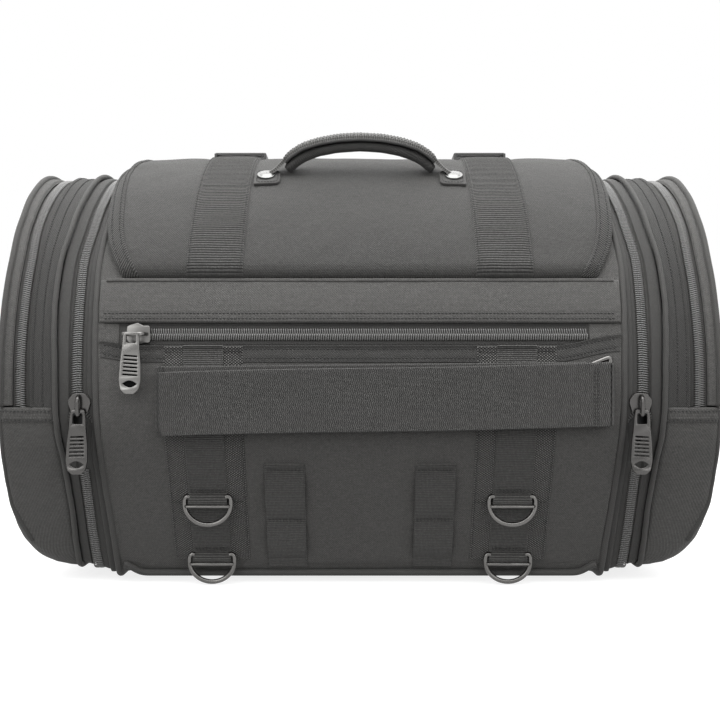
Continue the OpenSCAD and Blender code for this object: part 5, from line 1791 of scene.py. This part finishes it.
# a near-black plate behind the pull's slots, painted shade that darkens them
pi_ = Mixed()
v, f = plate("i", rounded([[-6.2, -17.2], [6.2, -17.2], [7.0, -36.0], [6.2, -43.6], [-6.2, -43.6], [-7.0, -36.0]], 1.0, 3), [], 0.1, 0.6, SLOT_SHADE_PLATE, bevel=0.15, segs=1)
v = v + np.stack([0 * v[:, 0], -1.6 - 0.5 * sstep(-v[:, 2], 10, 40), 2.6 + 0 * v[:, 0]], 1)
v = np.stack([v[:, 0] * math.cos(rad(-1.6)) - v[:, 2] * math.sin(rad(-1.6)), v[:, 1], v[:, 0] * math.sin(rad(-1.6)) + v[:, 2] * math.cos(rad(-1.6))], 1)
pi_.add(v, f)
ob = pi_.make("front_pull_shade_plate", SLOT_SHADE_PLATE, move=FS + [-4.2, -13.1, 0])
done(ob, "front_pull", slot="zip_metal")

# D-rings
TT = math.tan(rad(24.3))


def wpt(z, o):
    n_ = math.hypot(TT, 1)
    low = LOW_Y + (LOW_Z - z) * TT
    return low + o * (-1 / n_), z - o * (TT / n_)


for lvl, zc in (("upper", 74.4), ("lower", 27.6)):
    for sg in (-1, 1):
        side = ROTS[sg]
        y_, z_ = wpt(zc - (4.0 if lvl == "lower" else 0.0), 5.4)
        m = Mixed()
        a_ = np.radians(np.linspace(180, 360, 40))
        path = np.concatenate([[[-14.2, 0, 3.1], [-15.6, 0, 3.5], [-17.2, 0, 3.2], [-18.2, 0, 1.9], [-18.5, 0, 0.0]],
                               np.stack([18.5 * np.cos(a_), 0 * a_, -2.4 + 16.8 * np.sin(a_)], 1),
                               [[18.5, 0, 0.0], [18.2, 0, 1.9], [17.2, 0, 3.2], [15.6, 0, 3.5], [14.2, 0, 3.1]]])
        m.sweep(resample(path, 0.9), circle(1.95, 14), up=(0, 1, 0))
        m.sweep(np.array([[-18.4, 0, -4.2], [-16.6, -2.4, -4.3], [0, -2.7, -4.3], [16.6, -2.4, -4.3], [18.4, 0, -4.2]]), circle(1.35, 12), up=(0, 1, 0))
        m.sweep(np.array([[-14.6, 0, 0.4], [0, 0, 0.4], [14.6, 0, 0.4]]), circle(1.6, 12), up=(0, 1, 0))
        ob = m.make(f"d_ring_wire_{lvl}_{side}", WIRE, move=(sg * 122, y_, z_))
        done(ob, f"d_ring_{lvl}_{side}", f"d_ring_{lvl}_{side}")

# ring of the cinch strap
m = Mixed()
rp = rounded([[178.5, 139.5], [190.4, 138.4], [190.6, 176.0], [195.2, 188.2], [178.5, 181.4]], 3.0, 6)
q = np.stack([rp[:, 0], np.full(len(rp), -168.7), rp[:, 1]], 1)
q = resample(np.vstack([q, q[:1]]), 1.0)[:-1]
m.sweep(q, circle(2.0, 12), closed=True, up=(0, 1, 0))
ob = m.make("cinch_ring_wire", WIRE)
done(ob, "bag_body", "cinch_ring")


# ---------------------------------------------------------------- handle
HY, HZ, HT = -73.4, 353.9, 18.0
HC, HS = math.cos(rad(HT)), math.sin(rad(HT))


def hlocal(x, y, z):
    """From the handle's own frame (y across its depth, z up its arch) to the bag's."""
    return np.stack([x + 0 * y, HY + y * HC - z * HS, HZ + y * HS + z * HC], -1)


def arch_pts(left):
    """The arch's line in X and Z of the picture, as the handle's own X and Z."""
    half_ = np.array(left, float)
    full = np.concatenate([half_, (half_ * [-1, 1])[-2::-1]])
    p = resample(full, 1.0)
    for _ in range(12):
        q = p.copy()
        q[1:-1] = 0.25 * p[:-2] + 0.5 * p[1:-1] + 0.25 * p[2:]
        p = q
    p[:, 1] = (p[:, 1] - HZ) / HC
    return p


# outer webbing: narrow tails at the rivets, wide over the grip
up_line = arch_pts([[-86, 346.9], [-80, 348.0], [-74, 350.8], [-67.5, 356.6], [-60.5, 364.0], [-50, 370.2], [-36, 374.4], [-19, 377.2], [0, 378.2]])
dt = np.gradient(up_line, axis=0)
dt /= np.linalg.norm(dt, axis=1)[:, None]
nt_ = np.stack([-dt[:, 1], dt[:, 0]], 1)
nt_[nt_[:, 1] < 0] *= -1
nt_ = np.stack([-dt[:, 1] * np.sign(dt[:, 0]), np.abs(dt[:, 0])], 1)
hs = np.r_[0, np.cumsum(np.linalg.norm(np.diff(up_line, axis=0), axis=1))]
HLEN = hs[-1]


def hmap(line, nrm, slen):
    def f(U, V, O):
        x = np.interp(U, slen, line[:, 0]) + O * np.interp(U, slen, nrm[:, 0])
        z = np.interp(U, slen, line[:, 1]) + O * np.interp(U, slen, nrm[:, 1])
        w = hwidth(U)
        d = np.minimum(U, HLEN - U)
        return hlocal(x, V * w - 7.0 * (1 - sstep(d, 8, 26)), z)
    return f


def hwidth(U):
    d = np.minimum(U, HLEN - U)
    return np.interp(d, [0, 12, 20, 30, 44], [5.0, 5.6, 7.6, 11.4, 12.2])


uu = axis_pts(0, HLEN, 0.6, 1)
vv = np.unique(np.concatenate([np.linspace(-1, -0.86, 8), np.linspace(-0.86, 0.86, 30), np.linspace(0.86, 1, 8)]))


def htop(U, V):
    e_ = (1 - np.abs(V)) * hwidth(U)
    grip = sstep(np.minimum(U, HLEN - U), 21, 31)
    return 1.5 + 0.9 * grip * (1 - V ** 2) + 0.24 * ribs(U, 1.9) * sstep(e_, 0.8, 1.4) + 0.15 * nz(U * 0.08, V * 3, 2.0) - 0.3 * gauss(e_, 2.6, 0.5) * grip


P = Parts()
slab("h", hmap(up_line, nt_, hs), uu, vv, htop, -1.2, 0.06, HWEB, uvswap=True, parts=P, rnd=(1, 1, 1, 1))
ob = P.make("handle_webbing_outer", HWEB, warped=False)
fix_normals(ob)
done(ob, "handle", "handle_webbing")

# padded roll below it, sewn to it along both edges
lo_line = arch_pts([[-63, 351.5], [-57.5, 356.5], [-50, 361.4], [-36, 366.4], [-19, 369.4], [0, 370.6]])
ls_ = np.r_[0, np.cumsum(np.linalg.norm(np.diff(lo_line, axis=0), axis=1))]
P = Parts()
pth = hlocal(lo_line[:, 0], 0 * lo_line[:, 0], lo_line[:, 1])
t_, n_v, b_v = frames(pth, up=(0, -HS, HC))
k_ = 40
aa = np.linspace(0, 2 * np.pi, k_, endpoint=False)
bulge = np.interp(np.minimum(ls_, ls_[-1] - ls_), [0, 1.5, 5, 14], [0.72, 0.86, 0.97, 1.0])
wr = 1 + 0.03 * nz(ls_ * 0.13, 0 * ls_, 3.0)
cw = np.sign(np.cos(aa)) * np.abs(np.cos(aa)) ** 0.75 * 11.8
ch = np.sign(np.sin(aa)) * np.abs(np.sin(aa)) ** 0.85 * 4.6
V_ = pth[:, None, :] + (cw[None, :] * (bulge * wr)[:, None])[..., None] * np.array([0, HC, HS]) + (ch[None, :] * (bulge * wr)[:, None] + 0.10 * nz(ls_[:, None] * 0.35, aa[None, :] * 1.2, 6.0))[..., None] * n_v[:, None, :]
f = grid_faces(len(pth), k_, wrap_v=True)
uvq = np.stack([np.repeat((aa * 8)[None], len(pth), 0).ravel(), np.repeat(ls_[:, None], k_, 1).ravel()], 1)
v = V_.reshape(-1, 3)
i = np.arange(k_); j = (i + 1) % k_; e = (len(pth) - 1) * k_
f = np.concatenate([f, np.stack([np.full(k_, len(v)), i, j, j], 1), np.stack([np.full(k_, len(v) + 1), e + j, e + i, e + i], 1)])
v = np.concatenate([v, pth[:1], pth[-1:]])
uvq = np.concatenate([uvq, [[0, 0], [0, ls_[-1]]]])
P.add(v, f, uvq)
ob = P.make("handle_grip_roll", TWILL, warped=False)
fix_normals(ob)
done(ob, "handle", "handle_grip", slot="grip_fabric")
P = Parts()
s = np.linspace(26, HLEN - 26, 400)
for sgn in (-1, 1):
    q = hmap(up_line, nt_, hs)(s, sgn * 0.80 + 0 * s, htop(s, sgn * 0.80 + 0 * s) + 0.05)
    q1 = hmap(up_line, nt_, hs)(s, sgn * 0.80 + 0 * s, htop(s, sgn * 0.80 + 0 * s) + 1.05)
    stitches(P, q, q1 - q, pitch=3.0, length=2.2)
# bright folded edge of the wrap, between the two layers
for sgn in (-1, 1):
    s = np.linspace(25, HLEN - 25, 300)
    q = hmap(up_line, nt_, hs)(s, sgn * 0.985 + 0 * s, -2.0 + 0 * s)
    sweep(P, q, circle(0.85, 8, 1.0, 1.4), up=(0, -HS, HC))
ob = P.make("handle_stitches", THREAD, warped=False)
done(ob, "handle")

# anchor tabs and rivets on the lid's slope
S_RIV = float(np.interp(-80.6, LID.p[:len(LID.p) // 2, 0], LID.s[:len(LID.p) // 2]))


def slope(x, y, z):
    """x along the bag, y up the lid's slope from the rivet, z off the lid's face."""
    x, y, z = np.broadcast_arrays(np.asarray(x, float), np.asarray(y, float), np.asarray(z, float))
    s_ = S_RIV + y
    yy, zz = LID.at(s_, lid_top(x, s_) + z - 0.3)
    return np.stack([x, yy, zz], -1)


RN = LID.at(S_RIV, 1.0)
RN0 = LID.at(S_RIV, 0.0)
RS, RC = float(RN0[0] - RN[0]), float(RN[1] - RN0[1])


for sg in (-1, 1):
    side = ROTS[sg]
    m = Mixed()
    o = rounded([[-15.0, -14.5], [7.6, -15.0], [8.0, 11.5], [-6, 12.5], [-14.0, 8.5]][::-1], [6, 2, 2, 6, 7][::-1], 6)
    v, f = plate("a", o, [], -1.5, 1.5, TWILL, bevel=0.8, segs=3)
    v = np.stack([v[:, 0], v[:, 2], -v[:, 1]], 1)
    v[:, 2] += 1.6 + 0.5 * nz(v[:, 0] * 0.1, v[:, 1] * 0.1, sg)
    v[:, 0] = 84 - 1.0 + v[:, 0]
    w = slope(sg * v[:, 0], v[:, 1], v[:, 2])
    m.add(w, f)
    ob = m.make(f"handle_anchor_tab_{side}", TWILL)
    done(ob, "lid", *(["handle_anchors"] if sg < 0 else []))
    P = Parts()
    o2 = rounded(np.array([[-12.9, -12.3], [5.2, -12.8], [5.6, 9.4], [-5.2, 10.2], [-12.0, 6.8]])[::-1], [4, 2, 2, 5, 5], 6)
    o2 = resample(np.vstack([o2, o2[:1]]), 0.8)
    q = slope(sg * (83 + o2[:, 0]), o2[:, 1], 3.15 + 0 * o2[:, 0])
    stitches(P, q, (0, -RS, RC), pitch=2.6, length=1.9, r=0.3)
    ob = P.make(f"anchor_stitches_{side}", THREAD, warped=False)
    done(ob, "lid")
    # rivet: a domed cap on a rim
    m = Mixed()
    prof_r = np.array([[0.01, 4.3], [2.0, 4.22], [3.8, 3.95], [5.0, 3.5], [5.6, 3.1], [6.0, 2.75], [6.35, 2.7], [6.9, 2.95], [7.5, 3.0], [7.85, 2.7], [7.8, 2.3], [7.1, 2.1]])
    kk = 40
    ang = np.linspace(0, 2 * np.pi, kk, endpoint=False)
    R_ = prof_r[:, 0][:, None]
    V_ = slope(sg * 80.6 + 0.0 * R_ * np.cos(ang)[None], 0.0 * R_ * np.sin(ang)[None], 0.0 * R_ + 0.0 * ang[None])
    V_ = V_ + np.stack([R_ * np.cos(ang)[None], R_ * np.sin(ang)[None] * RC, R_ * np.sin(ang)[None] * RS], -1) + (prof_r[:, 1] + 1.3)[:, None, None] * np.array([0, -RS, RC])
    f = grid_faces(len(prof_r), kk, wrap_v=True)
    m.add(V_.reshape(-1, 3), [list(q_) for q_ in f])
    ob = m.make(f"handle_rivet_cap_{side}", CHROME, sharp=60)
    md = ob.modifiers.new("s", "SOLIDIFY"); md.thickness = 0.5 * MM; md.offset = -1
    apply_mods(ob)
    done(ob, "lid", *(["handle_rivets"] if sg < 0 else []))

# keepers on the crest
for sg in (-1, 1):
    side = ROTS[sg]
    m = Mixed()
    xc = sg * 112.8
    o = rounded([[-24.0, -10], [24.0, -10], [24.0, 14], [-24.0, 14]][::-1], 2.0, 5)
    h1 = rounded([[-20.8, -5.2], [20.8, -5.2], [20.8, 0.2], [-20.8, 0.2]], 1.0, 3)
    h2 = rounded([[-20.8, 5.0], [20.8, 5.0], [20.8, 10.4], [-20.8, 10.4]], 1.0, 3)
    v, f = plate("k", o, [h1, h2], -1.25, 1.25, PLASTIC, bevel=0.6, segs=3)
    v = np.stack([v[:, 0], v[:, 2], -v[:, 1]], 1)
    yy_ = v[:, 1] + 7.0
    zz_ = 379.9 - 0.0045 * (v[:, 1]) ** 2 + v[:, 2]
    m.add(np.stack([xc + v[:, 0], yy_, zz_], 1), f)
    for ex in (-1, 1):
        leg = rounded([[-1.1, -6.4], [1.1, -6.4], [1.1, 0.4], [-1.1, 0.4]][::-1], 0.5, 3)
        if ex * sg < 0:      # the hooked end, toward the middle
            leg = rounded([[-1.1, -4.6], [-3.6, -4.6], [-3.6, -6.6], [1.1, -6.6], [1.1, 0.4], [-1.1, 0.4]][::-1], 0.5, 3) * [(-ex) * -1, 1]
        v, f = plate("l", leg, [], -10, 14, PLASTIC, bevel=0.3, segs=2)
        m.add(np.stack([xc + ex * 23.2 + v[:, 0], v[:, 1] + 5.0, 379.3 + v[:, 2]], 1), f)
    ob = m.make(f"strap_keeper_{side}", PLASTIC)
    done(ob, "lid", *(["strap_adjusters"] if sg < 0 else []))


# ---------------------------------------------------------------- buckles, base and inside
bevel_copy("buckle_sockets", "buckle_sockets_soft", PLASTIC, "bag_body", width=0.7, segs=3)
bevel_copy("buckle_plugs", "buckle_plugs_soft", PLASTIC, "lid", width=0.6, segs=3)
bevel_copy("base_pad", "base_pad_soft", RUBBER, "bag_body", width=0.6, segs=2)
bevel_copy("bottom_board", "bottom_board_soft", PLASTIC, "bag_body", width=0.5, segs=2)

# padded wall behind the pocket
ob = slab("pocket_back_pad", body_map, axis_pts(-202, 202, 6, 2), axis_pts(sz(211.8), sz(66.2), 5, 2), lambda U, V: -9.2 + 0.3 * nz(U * .04, V * .04, 4.0), -11.0, 0.9, LINER)
done(ob, "bag_body", "front_wall_pad")


def ring_slab(name, body, nodes, xa, xb, o_out, o_in, mat, sg):
    """A closed band between two insets, over a range of x."""
    P = Parts()
    nn = int(OUT.L / 5)
    s = np.linspace(0, OUT.L, nn + 1)[:-1]
    sec = np.array([[xa, o_in], [xa + .3, o_out], [xb - .3, o_out], [xb, o_in]])
    rows = []
    for x, o_ in sec:
        y, z = OUT.at(s, o_ + 0 * s)
        rows.append(np.stack([sg * x + 0 * s, y, z], -1))
    R = np.array(rows)
    f = grid_faces(4, nn, wrap=True, wrap_v=True)
    uvr = np.stack([np.repeat(sec[:, :1], nn, 1).ravel(), np.repeat(s[None], 4, 0).ravel()], 1)
    P.add(R, f, uvr)
    ob = P.make(name, mat)
    fix_normals(ob)
    return done(ob, body, *nodes)


for sg in (-1, 1):
    side = ROTS[sg]
    ring_slab(f"sleeve_fabric_{side}", f"end_module_{side}", [f"expansion_sleeve_{side}"], 180, 231.5, -11.6, -12.8, SLEEVE, sg)
    # the divider: a quilted wall
    bevel_copy(f"divider_wall_{side}", f"divider_pad_{side}", LINER, f"end_module_{side}", width=0.4, segs=2)


# ---------------------------------------------------------------- stage, lights, camera
def stage_mat(name, col, rough):
    m, nt, bsdf = new_mat(name)
    bsdf.inputs["Base Color"].default_value = (*col, 1)
    bsdf.inputs["Roughness"].default_value = rough
    bsdf.inputs["Specular IOR Level"].default_value = 0.2
    return m


me = bpy.data.meshes.new("floor")
me.from_pydata([(-60, -60, 0), (60, -60, 0), (60, 60, 0), (-60, 60, 0)], [], [(0, 1, 2, 3)])
fl = bpy.data.objects.new("floor", me)
bpy.context.scene.collection.objects.link(fl)
fm = stage_mat("floor_white", (0.30, 0.30, 0.30), 0.9)
fb = [n for n in fm.node_tree.nodes if n.type == "BSDF_PRINCIPLED"][0]
fb.inputs["Emission Color"].default_value = (1, 1, 1, 1)
fb.inputs["Emission Strength"].default_value = 0.80
me.materials.append(fm)
fl.location.z = -0.0006
fl.visible_diffuse = False

WM, WT = 1.7, 3.6
w = bpy.data.worlds.new("studio")
bpy.context.scene.world = w
w.use_nodes = True
nt = w.node_tree
nt.nodes.clear()
out = nt.nodes.new("ShaderNodeOutputWorld")
bg = nt.nodes.new("ShaderNodeBackground")
tc = nt.nodes.new("ShaderNodeTexCoord")
sp = nt.nodes.new("ShaderNodeSeparateXYZ")
nt.links.new(tc.outputs["Generated"], sp.inputs[0])
cr = nt.nodes.new("ShaderNodeValToRGB")
zz_ = M(nt, "MULTIPLY_ADD", sp.outputs[2], 0.5, 0.5)
nt.links.new(zz_, cr.inputs[0])
el = cr.color_ramp.elements
el[0].position = 0.0
el[0].color = (0.25, 0.25, 0.25, 1)
el[1].position = 1.0
el[1].color = (WT, WT, WT, 1)
for ps_, c_ in ((0.485, 0.25), (0.495, 1.0), (0.68, 1.0), (0.76, WM), (0.90, 0.8 * WT)):
    q = el.new(ps_)
    q.color = (c_, c_, c_, 1)
nt.links.new(cr.outputs[0], bg.inputs[0])
bg.inputs[1].default_value = 1.0
nt.links.new(bg.outputs[0], out.inputs[0])


def area(name, loc, target, sx, sy, power, col=(1, 1, 1)):
    l = bpy.data.lights.new(name, "AREA")
    l.shape = "RECTANGLE"
    l.size, l.size_y = sx, sy
    l.energy = power
    l.color = col
    o = bpy.data.objects.new(name, l)
    bpy.context.scene.collection.objects.link(o)
    o.location = loc
    d = Vector(target) - Vector(loc)
    o.rotation_euler = d.to_track_quat("-Z", "Y").to_euler()
    return o


area("top_box", (0, -0.55, 1.55), (0, -0.05, 0.2), 1.5, 0.8, 16)
area("front_left", (-0.9, -1.7, 0.75), (0, 0, 0.15), 0.5, 0.9, 7)
area("front_right", (1.0, -1.6, 0.55), (0, 0, 0.15), 0.4, 0.8, 4)

cam = bpy.data.cameras.new("cam")
cam.lens = 48.3
cam.sensor_width = 36
cam.dof.use_dof = False
cam.clip_start = 0.02
cam.clip_end = 200
co_ = bpy.data.objects.new("cam", cam)
bpy.context.scene.collection.objects.link(co_)
co_.location = (0, -0.915, 0.185)
co_.rotation_euler = (math.pi / 2, 0, 0)
bpy.context.scene.camera = co_
bpy.context.scene.view_settings.view_transform = "Standard"
bpy.context.scene.view_settings.look = "None"

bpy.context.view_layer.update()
